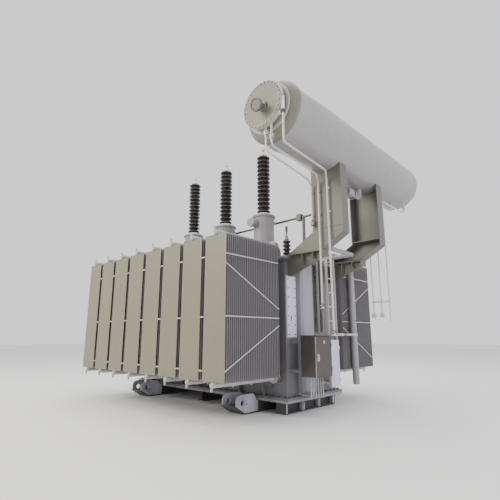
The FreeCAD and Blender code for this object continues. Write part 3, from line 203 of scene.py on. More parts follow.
def noise(tree, scale, stretch=None, detail=6.0):
    """Noise on Object coordinates, stretched along the axes."""
    place = place_of(tree)
    if stretch:
        place = add(tree, "ShaderNodeMapping", {"Vector": place, "Scale": stretch}).outputs[0]
    return add(tree, "ShaderNodeTexNoise", {"Vector": place, "Scale": scale, "Detail": detail,
                                            "Roughness": 0.55}).outputs[0]


def new_group(name, inputs=(), outputs=SURFACE):
    """An empty node group; inputs and outputs are (name, default) pairs."""
    group = bpy.data.node_groups.new(name, "ShaderNodeTree")
    for in_out, sockets in (("INPUT", inputs), ("OUTPUT", outputs)):
        for label, default in sockets:
            kind = "NodeSocketColor" if isinstance(default, tuple) else "NodeSocketFloat"
            socket = group.interface.new_socket(name=label, in_out=in_out, socket_type=kind)
            socket.default_value = default
    return group, group.nodes.new("NodeGroupInput").outputs


def put_out(group, *sockets):
    """Link the sockets to the group's outputs, in order."""
    for socket, out in zip(sockets, group.nodes.new("NodeGroupOutput").inputs):
        group.links.new(socket, out)
    return group


def enamel_coat():
    """Sprayed enamel: soft patches, rain streaks, dust on top faces and grime low down."""
    group, given = new_group("enamel_coat", (
        ("Color", GREY), ("Patches", 0.25), ("Streaks", 0.25), ("Dust", 0.3), ("Grime", 0.3),
        ("Sheen", 0.42)))
    patch = remap(group, noise(group, 1.7, detail=5.0), 0.35, 0.68)
    tone = mixed(group, times(group, patch, given["Patches"]), given["Color"], PATCH)
    streak = remap(group, noise(group, 1.0, (11, 11, 0.55)), 0.52, 0.72)
    tone = mixed(group, times(group, streak, given["Streaks"]), tone, STREAK)
    up = parts_of(group, add(group, "ShaderNodeNewGeometry").outputs["Normal"])[2]
    settled = times(group, remap(group, up, 0.35, 0.95),
                    remap(group, noise(group, 6.0), 0.3, 0.7, 0.4, 1.0))
    dusty = times(group, settled, given["Dust"])
    tone = mixed(group, dusty, tone, DUST)
    low = times(group, remap(group, parts_of(group, place_of(group))[2], 0.9, 0.0),
                remap(group, noise(group, 4.0), 0.38, 0.66))
    dirty = times(group, low, given["Grime"])
    tone = mixed(group, dirty, tone, GRIME)
    uneven = times(group, maths(group, "SUBTRACT", patch, 0.5), 0.10)
    matt = times(group, plus(group, dusty, dirty), 0.35)
    rough = plus(group, plus(group, given["Sheen"], uneven), matt, True)
    peel = noise(group, 240.0, detail=2.0)
    return put_out(group, tone, rough, plus(group, peel, times(group, streak, 0.3)))


def metal_grain():
    """Bare or plated metal: blotches, fine grain and lines drawn along one axis."""
    group, given = new_group("metal_grain", (
        ("Color", GREY), ("Blotches", 0.3), ("Lines", 0.2), ("Sheen", 0.35)))
    blotch = remap(group, noise(group, 9.0), 0.35, 0.65)
    tone = mixed(group, times(group, blotch, given["Blotches"]), given["Color"], BLOTCH)
    line = noise(group, 1.0, (420, 420, 2.2), 3.0)
    drawn = times(group, remap(group, line, 0.35, 0.65), given["Lines"])
    tone = mixed(group, drawn, tone, DRAWN_LINE)
    rough = plus(group, given["Sheen"], times(group, blotch, 0.18), True)
    grain = noise(group, 600.0, detail=2.0)
    return put_out(group, tone, rough, plus(group, times(group, drawn, 2.0), grain))


def fired_glaze():
    """Glaze over porcelain: deeper where it pools and paler where it runs off."""
    group, given = new_group("fired_glaze", (
        ("Color", GREY), ("Thin Color", GREY), ("Sheen", 0.12)))
    run = remap(group, noise(group, 1.0, (16, 16, 5), 5.0), 0.42, 0.72)
    film = remap(group, noise(group, 14.0), 0.4, 0.7, 0.0, 0.05)
    tone = mixed(group, film, mixed(group, run, given["Color"], given["Thin Color"]), DUST)
    rough = plus(group, given["Sheen"], film, True)
    return put_out(group, tone, rough, noise(group, 60.0, detail=2.0))


def lit_lug_mask():
    """Painted light on the skids' upright towing lugs at the ends; painted shade on the soles, the
    noses and the middle.
    """
    lug_start, nose_start, nose_slope, sole = 0.93, 1.28, 0.591, 0.026
    group, _ = new_group("lit_lug_mask", outputs=(("Mask", 0.0),))
    across, height = parts_of(group, place_of(group))[1:3]
    across = maths(group, "ABSOLUTE", across)
    past = maths(group, "MAXIMUM", maths(group, "SUBTRACT", across, nose_start), 0.0)
    above = maths(group, "SUBTRACT", height, times(group, past, nose_slope))
    over = maths(group, "GREATER_THAN", above, sole)
    outer = maths(group, "GREATER_THAN", across, lug_start)
    return put_out(group, times(group, over, outer))


def effect(maker):
    """The node group that the maker builds, built once."""
    return bpy.data.node_groups.get(maker.__name__) or maker()


# -------------------------------------------------------------------- finishes
# Each row starts with the base colour, or the name of its setting.
# Enamels go on with patches, streaks, dust, grime and sheen.
ENAMELS = {
    "tank_enamel": ("tank", 0.22, 0.25, 0.3, 0.3, 0.42),
    # Painted shade on the tank's walls, ribs and lugs.
    "bell_painted_shade": ("bell", 0.2, 0.3, 0.3, 0.35, 0.42),
    # Radiator paint with a painted warm-light tint.
    "radiator_enamel_warm_lit": ("radiator", 0.12, 0.22, 0.25, 0.25, 0.42),
    # Painted shade between the radiator panels.
    "fin_painted_shade": ("fin", 0.12, 0.2, 0.35, 0.2, 0.42),
    # Painted light on the panels' edges.
    "fin_edge_painted_light": ("fin_edge", 0.1, 0.15, 0.1, 0.2, 0.42),
    "brace_enamel": ("brace", 0.15, 0.2, 0.2, 0.3, 0.42),
    # Painted reflection of cool light on the columns and base plate.
    "column_painted_light": ("column", 0.15, 0.2, 0.2, 0.3, 0.34),
    "drum_enamel": ("drum", 0.12, 0.14, 0.3, 0.0, 0.36),
    # Painted shade with a warm-light tint on the drum's near end.
    "head_shade_and_warm_light": ("head", 0.15, 0.14, 0.2, 0.0, 0.40),
    # Painted shade with a warm-light tint on the legs, brackets and gas header pipe.
    "leg_shade_and_warm_light": ("leg", 0.15, 0.22, 0.3, 0.2, 0.42),
    "pipe_enamel": ("pipe", 0.2, 0.2, 0.15, 0.3, 0.38),
    # Painted shade on the ground frame, with painted light on its end lugs.
    "skid_shade_and_lit_lugs": ("skid", 0.3, 0.3, 0.25, 0.5, 0.5),
    # Painted light on the lugs, collars and stiffeners.
    "web_painted_light": ("web", 0.2, 0.3, 0.2, 0.35, 0.42),
    # Painted cool light on the guard and the hand-hole cover.
    "guard_painted_light": ("guard", 0.1, 0.12, 0.1, 0.15, 0.42),
    "relay_enamel": ((0.30, 0.30, 0.30), 0.2, 0.2, 0.3, 0.0, 0.42),
    "gauge_shell": ((0.10, 0.098, 0.09), 0.3, 0.1, 0.2, 0.0, 0.42),
    "dial_face": ((0.15, 0.145, 0.125), 0.12, 0.0, 0.1, 0.0, 0.5),
    "white_lacquer": ((0.80, 0.80, 0.78), 0.1, 0.1, 0.1, 0.0, 0.42),
    "dark_enamel": ((0.055, 0.052, 0.048), 0.4, 0.3, 0.3, 0.2, 0.42),
    "black_rubber": ((0.018, 0.018, 0.018), 0.3, 0.2, 0.3, 0.2, 0.62),
    "terminal_plastic": ((0.42, 0.40, 0.33), 0.1, 0.0, 0.1, 0.0, 0.5),
    "floor": ("floor", 0.02, 0.0, 0.0, 0.0, 0.75),
}
# Metals go on with blotches, drawn lines and sheen, and end with their metallic share.
METALS = {
    "casting": ("casting", 0.16, 0.0, 0.48, 0.55),
    "gauge_casting": ((0.24, 0.23, 0.21), 0.3, 0.0, 0.4, 0.5),
    "zinc": ("zinc", 0.35, 0.0, 0.45, 0.8),
    # Painted shade: dark metal for bolts that sit in shadow.
    "shaded_bolt_steel": ((0.09, 0.088, 0.09), 0.4, 0.0, 0.5, 0.6),
    "tinned_copper": ("copper", 0.3, 0.1, 0.33, 0.85),
    "brushed_stainless": ("stainless", 0.22, 0.05, 0.36, 0.6),
    "bright_edge": ((0.34, 0.31, 0.285), 0.12, 0.05, 0.34, 0.7),
}
# Glazes go on with the thin colour and sheen, and end with bump and one shader socket.
GLAZES = {
    "brown_glaze": ("porcelain", (0.036, 0.031, 0.027), 0.34, 0.02, {"Specular IOR Level": 0.35}),
    "gauge_glass": ((0.30, 0.30, 0.28), (0.34, 0.34, 0.31), 0.06, 0.01, {"Coat Weight": 1.0}),
}


def material(name, maker, values, constants, bump=0.08):
    """A Principled material fed by one effect; constants sit on the shader's own sockets."""
    made = bpy.data.materials.new(name)
    made.use_nodes = True
    tree = made.node_tree
    tree.nodes.clear()
    grain = add(tree, "ShaderNodeGroup", node_tree=effect(maker))
    for socket, value in zip(grain.inputs, values):
        if isinstance(value, str):
            value = getattr(colours(), value)
        socket.default_value = value if isinstance(value, float) else (*value, 1.0)
    lift = add(tree, "ShaderNodeBump", {"Height": grain.outputs["Height"], "Strength": bump,
                                        "Distance": BUMP_REACH})
    shader = add(tree, "ShaderNodeBsdfPrincipled", {
        "Base Color": grain.outputs["Color"], "Roughness": grain.outputs["Roughness"],
        "Normal": lift.outputs[0], **constants})
    add(tree, "ShaderNodeOutputMaterial", {0: shader.outputs[0]})
    # The skids mix their painted shade with the painted light of the lit towing lugs.
    if name == "skid_shade_and_lit_lugs":
        mask = add(tree, "ShaderNodeGroup", node_tree=effect(lit_lug_mask)).outputs[0]
        tone = mixed(tree, mask, (*colours().skid, 1), (*colours().web, 1))
        tree.links.new(tone, grain.inputs["Color"])
    return made


def finish_of(name):
    """The named finish, made when it is first wanted."""
    ready = bpy.data.materials.get(name)
    if ready:
        return ready
    if name in ENAMELS:
        return material(name, enamel_coat, ENAMELS[name], {})
    if name in METALS:
        *values, metallic = METALS[name]
        return material(name, metal_grain, values, {"Metallic": metallic})
    *values, bump, constants = GLAZES[name]
    return material(name, fired_glaze, values, constants, bump)


# ------------------------------------------------------------------ mesh tools
def turned_to(axis):
    """A rotation that carries +Z to the axis."""
    return Vector(axis).to_track_quat("Z", "Y").to_matrix().to_4x4()


def block(bm, low, high, bevel=0.0, segments=2):
    """A block between two corners, its edges rounded where a bevel is given."""
    low, high = Vector(low), Vector(high)
    centre, span = (low + high) / 2, high - low
    made = bmesh.ops.create_cube(bm, size=1.0, matrix=Matrix.LocRotScale(centre, None, span))
    if bevel:
        edges = list({edge for vert in made["verts"] for edge in vert.link_edges})
        bmesh.ops.bevel(bm, geom=edges, offset=bevel, offset_type="OFFSET", segments=segments,
                        profile=0.5, affect="EDGES", clamp_overlap=True, material=-1)


def rod(bm, start, end, radius, sides=20, end_radius=None):
    """A round bar from start to end."""
    start, end = Vector(start), Vector(end)
    run = end - start
    place = Matrix.Translation((start + end) / 2) @ turned_to(run)
    bmesh.ops.create_cone(bm, cap_ends=True, cap_tris=False, segments=sides, radius1=radius,
                          radius2=end_radius or radius, depth=run.length, matrix=place)


def nut(bm, place, low, high, radius):
    """An upright hexagon between two heights over the place."""
    rod(bm, place + Z * low, place + Z * high, radius, 6)


def lathe(bm, origin, axis, profile, steps=40):
    """Spin (radius, height) points about an axis; points on the axis close the ends."""
    place = Matrix.Translation(Vector(origin)) @ turned_to(axis)
    verts = [bm.verts.new(place @ Vector((radius, 0, height))) for radius, height in profile]
    edges = [bm.edges.new(pair) for pair in zip(verts, verts[1:])]
    bmesh.ops.spin(bm, geom=verts + edges, cent=place.translation, axis=place.to_3x3() @ Z,
                   dvec=(0, 0, 0), angle=math.tau, steps=steps, use_merge=True,
                   use_duplicate=False)


def bolt(bm, place, axis, radius, washer=True):
    """A hexagon head on a washer with the end of its thread."""
    place, axis = Vector(place), Vector(axis)
    base = 0.0
    if washer:
        rod(bm, place, place + axis * radius * 0.2, radius * 1.3, 12)
        base = radius * 0.2
    rod(bm, place + axis * base, place + axis * (base + radius * 0.8), radius, 6)
    rod(bm, place + axis * (base + radius * 0.8), place + axis * (base + radius * 1.1),
        radius * 0.5, 8, radius * 0.4)


def ring_of_bolts(bm, centre, axis, ring, count, radius, turn=0.0):
    """Bolts round a circle about the axis."""
    spin = turned_to(axis)
    for step in range(count):
        angle = turn + math.tau * step / count
        offset = spin @ Vector((ring * math.cos(angle), ring * math.sin(angle), 0))
        bolt(bm, Vector(centre) + offset, axis, radius)


def row_of_bolts(bm, start, end, pitch, axis, radius):
    """Bolts at even steps near the pitch between two points."""
    start, end = Vector(start), Vector(end)
    count = max(1, round((end - start).length / pitch))
    for step in range(count + 1):
        bolt(bm, start.lerp(end, step / count), axis, radius)


def copies(bm, geom, offsets):
    """Repeat the geometry at each offset."""
    for offset in offsets:
        made = bmesh.ops.duplicate(bm, geom=geom)
        verts = [item for item in made["geom"] if isinstance(item, bmesh.types.BMVert)]
        bmesh.ops.translate(bm, verts=verts, vec=offset)


def everything(bm):
    return list(bm.verts) + list(bm.edges) + list(bm.faces)


def make_piece(bm, name, finish, slot, body=FIXED, replaced=(), smooth=32.0, merge=0.00002):
    """Turn the bmesh into a piece that rides on a body and takes the named finish; the slot is not
    used.
    """
    bmesh.ops.remove_doubles(bm, verts=bm.verts, dist=merge)
    bmesh.ops.recalc_face_normals(bm, faces=bm.faces)
    mesh = bpy.data.meshes.new(name)
    bm.to_mesh(mesh)
    bm.free()
    for polygon in mesh.polygons:
        polygon.use_smooth = True
    mesh.set_sharp_from_angle(angle=math.radians(smooth))
    mesh.materials.append(finish_of(finish))
    piece = bpy.data.objects.new(name, mesh)
    bpy.context.scene.collection.objects.link(piece)
    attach(piece, body)
    if replaced:
        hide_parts(*replaced)
    return piece


def hardware(bm, name, body=FIXED, finish="zinc"):
    """A piece of bolts, rivets or other small metal."""
    make_piece(bm, name, finish, "bright_metal", body)


def bolt_circle(name, centre, axis, ring, count, radius, turn=0.0):
    """A piece that is one ring of bolts."""
    bm = bmesh.new()
    ring_of_bolts(bm, centre, axis, ring, count, radius, turn)
    hardware(bm, name)


def spun(name, finish, slot, origin, axis, profile, steps, **held):
    """A piece that is one lathed shape."""
    bm = bmesh.new()
    lathe(bm, origin, axis, profile, steps)
    return make_piece(bm, name, finish, slot, **held)


def paint_faces(piece, finish, chosen):
    """Give the chosen faces a second finish."""
    piece.data.materials.append(finish_of(finish))
    for polygon in piece.data.polygons:
        if chosen(polygon):
            polygon.material_index = len(piece.data.materials) - 1


def paint_nodes(finish, *nodes):
    """Give CAD nodes their finish."""
    for node in nodes:
        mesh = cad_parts[node].data
        mesh.materials.clear()
        mesh.materials.append(finish_of(finish))


def box_parts(node):
    """Low corner, high corner, centre and span of a CAD node."""
    low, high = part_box(node)
    return low, high, (low + high) / 2, high - low


# ------------------------------------------------------------------- radiators
PLUG = 0.05
PLUG_COLLAR = 0.0205


def radiator_step(span):
    """Distance from radiator to radiator in a bank of the given length."""
    return (span - sizes().panel_width) / (sizes().radiators - 1)


def panel_outline(width, channels, seam, thick):
    """Across and half-thickness points of one face of a pressed panel."""
    margin = 0.018
    pitch = (width - 2 * margin) / channels
    points = [(0.0, seam / 2), (margin, seam / 2)]
    for step in range(channels):
        start = margin + step * pitch
        points += [(start + 0.2 * pitch, thick / 2), (start + 0.8 * pitch, thick / 2),
                   (start + pitch, seam / 2)]
    points.append((width, seam / 2))
    return points


def pressed_panel(bm, low_x, middle_y, low_z, high_z):
    """One radiator panel: two fluted sheets welded along their seams."""
    held = sizes()
    half = panel_outline(held.panel_width, held.channels, held.seam_thick, held.panel_thick)
    loop = half + [(across, -side) for across, side in reversed(half)]
    verts = [bm.verts.new((low_x + across, middle_y + side, low_z)) for across, side in loop]
    face = bm.faces.new(verts)
    lifted = bmesh.ops.extrude_face_region(bm, geom=[face])["geom"]
    top = [item for item in lifted if isinstance(item, bmesh.types.BMVert)]
    bmesh.ops.translate(bm, verts=top, vec=(0, 0, high_z - low_z))


def header(bm, x, outer_y, inner_y, z, side):
    """A header pipe with a domed outer end and its bolted flange."""
    radius = sizes().header_radius
    reach = abs(outer_y - inner_y)
    flange, flange_radius, bolt_ring = 0.020, radius * 2.05, radius * 1.62
    profile = [(0, 0), (radius * 0.55, 0.004), (radius * 0.9, 0.014), (radius, 0.030),
               (radius, reach - flange - 0.006), (radius + 0.006, reach - flange),
               (flange_radius, reach - flange), (flange_radius, reach), (0, reach)]
    lathe(bm, (x, outer_y, z), (0, -side, 0), profile, 24)
    ring_of_bolts(bm, (x, inner_y + side * flange, z), (0, side, 0), bolt_ring, 8, 0.012)


def radiator_bank(side, name, node):
    """One bank of radiators; side is -1 for the front and 1 for the rear."""
    held = sizes()
    low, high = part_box(node)
    step = radiator_step(high.x - low.x)
    outer_y, inner_y = (low.y, high.y) if side < 0 else (high.y, low.y)
    radius = held.header_radius
    header_low, header_high = low.z + PLUG + radius, high.z - PLUG - radius
    rise = 0.040
    panel_low, panel_high = header_low + rise, header_high - rise
    depth = (held.panels - 1) * held.panel_pitch + held.panel_thick
    header_out = 0.042
    first_y = outer_y - side * (header_out + held.panel_thick / 2)
    x = high.x - held.panel_width / 2
    along = [Vector((-step * number, 0, 0)) for number in range(1, held.radiators)]
    bm = bmesh.new()
    pressed_panel(bm, high.x - held.panel_width, first_y, panel_low, panel_high)
    copies(bm, everything(bm), [Vector((0, -side * held.panel_pitch * row, 0))
                                for row in range(1, held.panels)])
    copies(bm, everything(bm), along)
    # The outer panel keeps the radiator paint with its painted warm-light tint.
    bank = make_piece(bm, name + "_panels", "radiator_enamel_warm_lit", "radiator_paint", smooth=40.0,
                      replaced=(node,))
    edge_y = first_y - side * held.panel_pitch / 2
    # Every panel behind the outer one takes painted shade for the dark gaps between panels.
    paint_faces(bank, "fin_painted_shade", lambda face: side * (face.center.y - edge_y) < 0)
    # Their side edges take painted light, pale lines between the painted shade.
    paint_faces(bank, "fin_edge_painted_light", lambda face: abs(face.normal.x) > 0.99
                and side * (face.center.y - edge_y) < 0)
    pipes = bmesh.new()
    for z in (header_low, header_high):
        header(pipes, x, outer_y, inner_y, z, side)
    plug_y = outer_y - side * header_out / 2
    for z, way in ((header_low, -1), (header_high, 1)):
        start, lift = Vector((x, plug_y, z)), Z * way
        for low_out, high_out, size, corners in (
                (-radius, 0.022, 0.019, 16), (0.020, 0.034, PLUG_COLLAR, 16),
                (0.034, PLUG, 0.015, 6)):
            rod(pipes, start + lift * (radius + low_out), start + lift * (radius + high_out),
                size, corners)
    for share in (0.33, 0.66):
        y = outer_y - side * (header_out + depth * share)
        start = Vector((x, y, header_low - radius + 0.004))
        rod(pipes, start, start - Z * 0.024, 0.014, 12)
    for z in (panel_low + 0.02, panel_high - 0.02):
        for across in (-0.16, 0.16):
            rod(pipes, (x + across, first_y, z), (x + across, first_y - side * (depth - 0.012), z),
                0.007, 8)
    copies(pipes, everything(pipes), along)
    make_piece(pipes, name + "_headers", "brace_enamel", "radiator_paint")


class TRANSFORMER_OT_radiators(bpy.types.Operator):
    """Build both banks of pressed-panel radiators with their headers"""

    bl_idname = "transformer.radiators"
    bl_label = "Radiators"

    def execute(self, context):
        radiator_bank(-1, "front_bank", "front_radiators")
        radiator_bank(1, "rear_bank", "rear_radiators")
        # The valves take the radiator paint with its painted warm-light tint.
        paint_nodes("radiator_enamel_warm_lit", "front_radiator_valves", "rear_radiator_valves")
        paint_nodes("brace_enamel", "front_radiator_braces", "rear_radiator_braces")
        return {"FINISHED"}


class TRANSFORMER_OT_radiator_valves(bpy.types.Operator):
    """Add the bolts, spindles and levers of the radiators' butterfly valves"""

    bl_idname = "transformer.radiator_valves"
    bl_label = "Radiator valves"

    def execute(self, context):
        held = sizes()
        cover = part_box("tank_cover")[1].z
        bm = bmesh.new()
        for side, node in ((-1, "front_radiators"), (1, "rear_radiators")):
            low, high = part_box(node)
            step = radiator_step(high.x - low.x)
            joint = high.y if side < 0 else low.y
            for number in range(held.radiators):
                x = high.x - held.panel_width / 2 - step * number
                for z in (low.z + PLUG + held.header_radius, high.z - PLUG - held.header_radius):
                    body = Vector((x, joint - side * 0.035, z))
                    rod(bm, body, body + Z * 0.108, 0.012, 12)
                    block(bm, body + Vector((-0.008, -0.008, 0.100)),
                          body + Vector((0.085, 0.008, 0.108)), 0.003)
                    ring_of_bolts(bm, (x, joint - side * 0.090, z), (0, -side, 0), 0.072, 8, 0.012)
                ring_of_bolts(bm, (x, joint - side * 0.20, cover + 0.020), Z, 0.064, 6, 0.012, 0.3)
        hardware(bm, "radiator_valve_hardware")
        return {"FINISHED"}


# ------------------------------------------------------------------------ tank
def tank_walls():
    """Half length, half width and cover height of the tank's walls."""
    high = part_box("tank_bell")[1]
    flange_out = 0.09
    return high.x - flange_out, high.y - flange_out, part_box("tank_cover")[1].z


class TRANSFORMER_OT_tank(bpy.types.Operator):
    """Paint the tank and add its flange bolts, weld beads and hatch bolts"""

    bl_idname = "transformer.tank"
    bl_label = "Tank"

    def execute(self, context):
        held = sizes()
        # The walls, ribs and lugs take painted shade, a darker copy of the tank paint.
        paint_nodes("bell_painted_shade", "tank_bell", "side_ribs", "jacking_lugs")
        paint_nodes("tank_enamel", "tank_cover")
        # The drum's brackets take the legs' painted shade.
        paint_nodes("leg_shade_and_warm_light", "front_bracket", "rear_bracket")
        # The columns and base plate take the lilac painted reflection.
        paint_nodes("column_painted_light", "end_columns", "base_plate")
        # The hand-hole cover takes the guard's painted cool light.
        paint_nodes("guard_painted_light", "hand_hole_cover")
        half_x, half_y, cover = tank_walls()
        foot_flange, rim_flange = 0.045, 0.060
        base_low, base_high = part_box("base_plate")
        foot_under, foot_top = base_low.z, base_high.z + foot_flange
        rim_under = cover - rim_flange
        bm = bmesh.new()
        for out, pitch, size, levels in ((0.055, held.foot_pitch, held.bolt,
                                          ((foot_top, Z), (foot_under, -Z))),
                                         (0.034, held.rim_pitch, held.bolt * 0.8,
                                          ((cover, Z), (rim_under, -Z)))):
            for z, axis in levels:
                for side in SIDES:
                    row_of_bolts(bm, (-half_x, side * (half_y + out), z),
                                 (half_x, side * (half_y + out), z), pitch, axis, size)
                    row_of_bolts(bm, (side * (half_x + out), -half_y, z),
                                 (side * (half_x + out), half_y, z), pitch, axis, size)
        # The flange bolts take the shaded bolt metal, painted shade.
        hardware(bm, "tank_flange_bolts", finish="shaded_bolt_steel")
        self.hatch(half_x)
        self.welds(half_x, half_y, foot_top, rim_under)
        return {"FINISHED"}

    def hatch(self, half_x):
        low, high, centre, _ = box_parts("hand_hole_cover")
        bm = bmesh.new()
        for y in (low.y + 0.035, high.y - 0.035):
            row_of_bolts(bm, (high.x, y, low.z + 0.05), (high.x, y, high.z - 0.05), 0.17, X,
                         sizes().small_bolt)
        hardware(bm, "hatch_bolts", finish="dark_enamel")
        border = 0.022
        rim = bmesh.new()
        block(rim, (half_x, low.y - border, low.z - border),
              (half_x + 0.008, high.y + border, high.z + border), 0.003)
        block(rim, (high.x - 0.001, centre.y - 0.035, low.z + 0.30),
              (high.x + 0.022, centre.y - 0.020, low.z + 0.40), 0.003)
        make_piece(rim, "hatch_frame", "tank_enamel", "tank_paint")

    def welds(self, half_x, half_y, foot_top, rim_under):
        """Fillet beads where the walls meet the foot flange and the rim."""
        bm = bmesh.new()
        bead = 0.007
        for z in (foot_top, rim_under):
            for side in SIDES:
                rod(bm, (-half_x, side * half_y, z), (half_x, side * half_y, z), bead, 8)
                rod(bm, (side * half_x, -half_y, z), (side * half_x, half_y, z), bead, 8)
        low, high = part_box("end_columns")
        for end in SIDES:
            for y in (low.y, high.y):
                rod(bm, (end * half_x, y, foot_top), (end * half_x, y, rim_under), bead, 8)
        make_piece(bm, "tank_weld_beads", "tank_enamel", "tank_paint")


class TRANSFORMER_OT_ground_frame(bpy.types.Operator):
    """Finish the towing skids and stiffen the beams under the tank"""

    bl_idname = "transformer.ground_frame"
    bl_label = "Ground frame"

    def execute(self, context):
        # The beams and skids take painted shade, with painted light on the end lugs.
        paint_nodes("skid_shade_and_lit_lugs", "end_beams", "middle_skid", "towing_skids")
        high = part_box("towing_skids")[1]
        outer_lug, inner_lug, hole_in, hole_height = 0.010, 0.365, 0.155, 0.200
        collars = bmesh.new()
        for end in SIDES:
            for face in (high.x - outer_lug, high.x - inner_lug):
                for side in SIDES:
                    lathe(collars, (end * face, side * (high.y - hole_in), hole_height), X * end,
                          [(0.051, -0.004), (0.051, 0.008), (0.066, 0.008), (0.070, 0.004),
                           (0.070, -0.004)], 28)
        # The collars take the pale painted light.
        make_piece(collars, "towing_collars", "web_painted_light", "skid_paint")
        self.end_ribs(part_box("base_plate")[0].z)
        return {"FINISHED"}

    def end_ribs(self, under):
        """Stiffeners in pale painted light against the end beams' webs, clear of their flanges."""
        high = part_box("end_beams")[1]
        depth, half_width, flange = 0.09, 0.030, 0.022
        bm = bmesh.new()
        for side in SIDES:
            for share in (-1.0, -0.34, 0.34, 1.0):
                y = share * (high.y - 0.034)
                block(bm, (side * high.x - depth * (side > 0), y - half_width, flange),
                      (side * high.x + depth * (side < 0), y + half_width, under - flange), 0.004)
        make_piece(bm, "end_beam_stiffeners", "web_painted_light", "skid_paint")


# -------------------------------------------------------------------- bushings
def bushing_places():
    """Ground-plan centres of the high-voltage bushings, and the radius of their sheds."""
    low, high, centre, span = box_parts("hv_porcelains")
    count = sizes().bushings
    radius = span.y / 2
    first, last = high.x - radius, low.x + radius
    return [Vector((first + (last - first) * step / (count - 1), centre.y, 0))
            for step in range(count)], radius


def porcelain_profile(low, high, core, shed, count):
    """Rounded sheds with drip edges, from foot to top."""
    pitch = (high - low) / count
    lip = shed - core
    points = [(0, low), (core, low), (core, low + 0.10 * pitch)]
    for step in range(count):
        z = low + step * pitch
        points += [(core + 0.06 * lip, z + 0.20 * pitch), (core + 0.50 * lip, z + 0.27 * pitch),
                   (core + 0.86 * lip, z + 0.25 * pitch), (core + 0.97 * lip, z + 0.30 * pitch),
                   (shed, z + 0.40 * pitch), (core + 0.95 * lip, z + 0.52 * pitch),
                   (core + 0.72 * lip, z + 0.62 * pitch), (core + 0.30 * lip, z + 0.78 * pitch),
                   (core + 0.08 * lip, z + 0.90 * pitch)]
    points += [(core, high - 0.04 * pitch), (core, high), (0, high)]
    return points


class TRANSFORMER_OT_bushings(bpy.types.Operator):
    """Build the turrets, flanges, porcelains and terminals"""

    bl_idname = "transformer.bushings"
    bl_label = "Bushings"

    def execute(self, context):
        places, shed = bushing_places()
        foot, top = (corner.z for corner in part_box("hv_porcelains"))
        cover, turret_top, tip = (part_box(node)[1].z
                                  for node in ("tank_cover", "hv_turrets", "hv_terminals"))
        core = 0.094
        turrets, cups, glaze, caps, studs, bolts = (bmesh.new() for _ in range(6))
        for place in places:
            self.turret(turrets, bolts, place, cover, turret_top)
            self.cup(cups, bolts, place, turret_top, foot)
            lathe(glaze, place, Z, porcelain_profile(foot, top, core, shed,
                                                     sizes().sheds), 44)
            self.terminal(caps, studs, place, top, tip, core)
        make_piece(turrets, "bushing_turrets", "tank_enamel", "tank_paint",
                   replaced=("hv_turrets",))
        make_piece(cups, "bushing_cups", "casting", "bright_metal",
                   replaced=("hv_bushing_flanges",))
        make_piece(glaze, "bushing_porcelains", "brown_glaze", "porcelain",
                   replaced=("hv_porcelains",), smooth=60.0)
        make_piece(caps, "bushing_caps", "casting", "bright_metal", replaced=("hv_terminals",))
        hardware(studs, "bushing_studs", finish="tinned_copper")
        hardware(bolts, "bushing_bolts")
        return {"FINISHED"}

    def turret(self, bm, bolts, place, low, high):
        radius, flange = 0.224, 0.254
        lathe(bm, place, Z, [
            (0, low), (radius + 0.024, low), (radius + 0.024, low + 0.018),
            (radius + 0.010, low + 0.022), (radius, low + 0.034), (radius, low + 0.44),
            (radius + 0.003, low + 0.444), (radius + 0.003, low + 0.456), (radius, low + 0.46),
            (radius, high - 0.050), (radius + 0.008, high - 0.036), (flange, high - 0.032),
            (flange, high - 0.018), (flange - 0.003, high - 0.017), (flange - 0.003, high - 0.015),
            (flange, high - 0.014), (flange, high - 0.002), (flange - 0.002, high), (0, high)], 64)
        for angle in (0.6, 0.6 + math.pi):
            way = Vector((math.cos(angle), math.sin(angle), 0))
            ear = place + way * (radius + 0.012) + Z * (high - 0.16)
            block(bm, ear - Vector((0.012, 0.03, 0.035)), ear + Vector((0.012, 0.03, 0.035)), 0.006)
        ring_of_bolts(bolts, place + Z * (high - 0.032), -Z, flange - 0.016, 18, 0.0125)
        ring_of_bolts(bolts, place + Z * high, Z, flange - 0.018, 18, 0.0125)

    def cup(self, bm, bolts, place, low, high):
        rim, waist = 0.190, 0.150
        lathe(bm, place, Z, [
            (0, low), (rim, low), (rim, low + 0.018), (rim - 0.004, low + 0.022),
            (waist + 0.010, low + 0.022), (waist, low + 0.030), (waist - 0.004, high - 0.016),
            (waist - 0.014, high - 0.004), (waist - 0.026, high), (0.10, high), (0, high)], 48)
        for step in range(12):
            angle = math.tau * (step + 0.5) / 12
            way = Vector((math.cos(angle), math.sin(angle), 0))
            start = place + way * (waist - 0.006) + Z * (low + 0.022)
            rod(bm, start, start + Z * 0.028, 0.007, 8)
        ring_of_bolts(bolts, place + Z * (low + 0.022), Z, rim - 0.018, 12, 0.0115)

    def terminal(self, caps, studs, place, low, high, core):
        cap = 0.062
        lathe(caps, place, Z, [
            (0, low), (core - 0.006, low), (core - 0.006, low + 0.010), (core - 0.014, low + 0.018),
            (cap + 0.006, low + 0.030), (cap, low + 0.040), (cap, low + 0.078),
            (cap - 0.006, low + 0.088), (cap - 0.020, low + 0.090), (0, low + 0.090)], 40)
        lathe(studs, place, Z, [
            (0, low + 0.085), (0.030, low + 0.085), (0.030, low + 0.100), (0.018, low + 0.104),
            (0.018, high - 0.052), (0.016, high - 0.048), (0, high - 0.048)], 20)
        for z in (low + 0.118, low + 0.142):
            nut(studs, place, z, z + 0.016, 0.032)
        lean = Vector((-0.42, 0.10, 0.90)).normalized()
        start = place + Z * (high - 0.095)
        block(caps, start - Vector((0.030, 0.022, 0.034)), start + Vector((0.030, 0.022, 0.030)),
              0.006)
        rod(studs, start, start + lean * 0.092, 0.0165, 12)


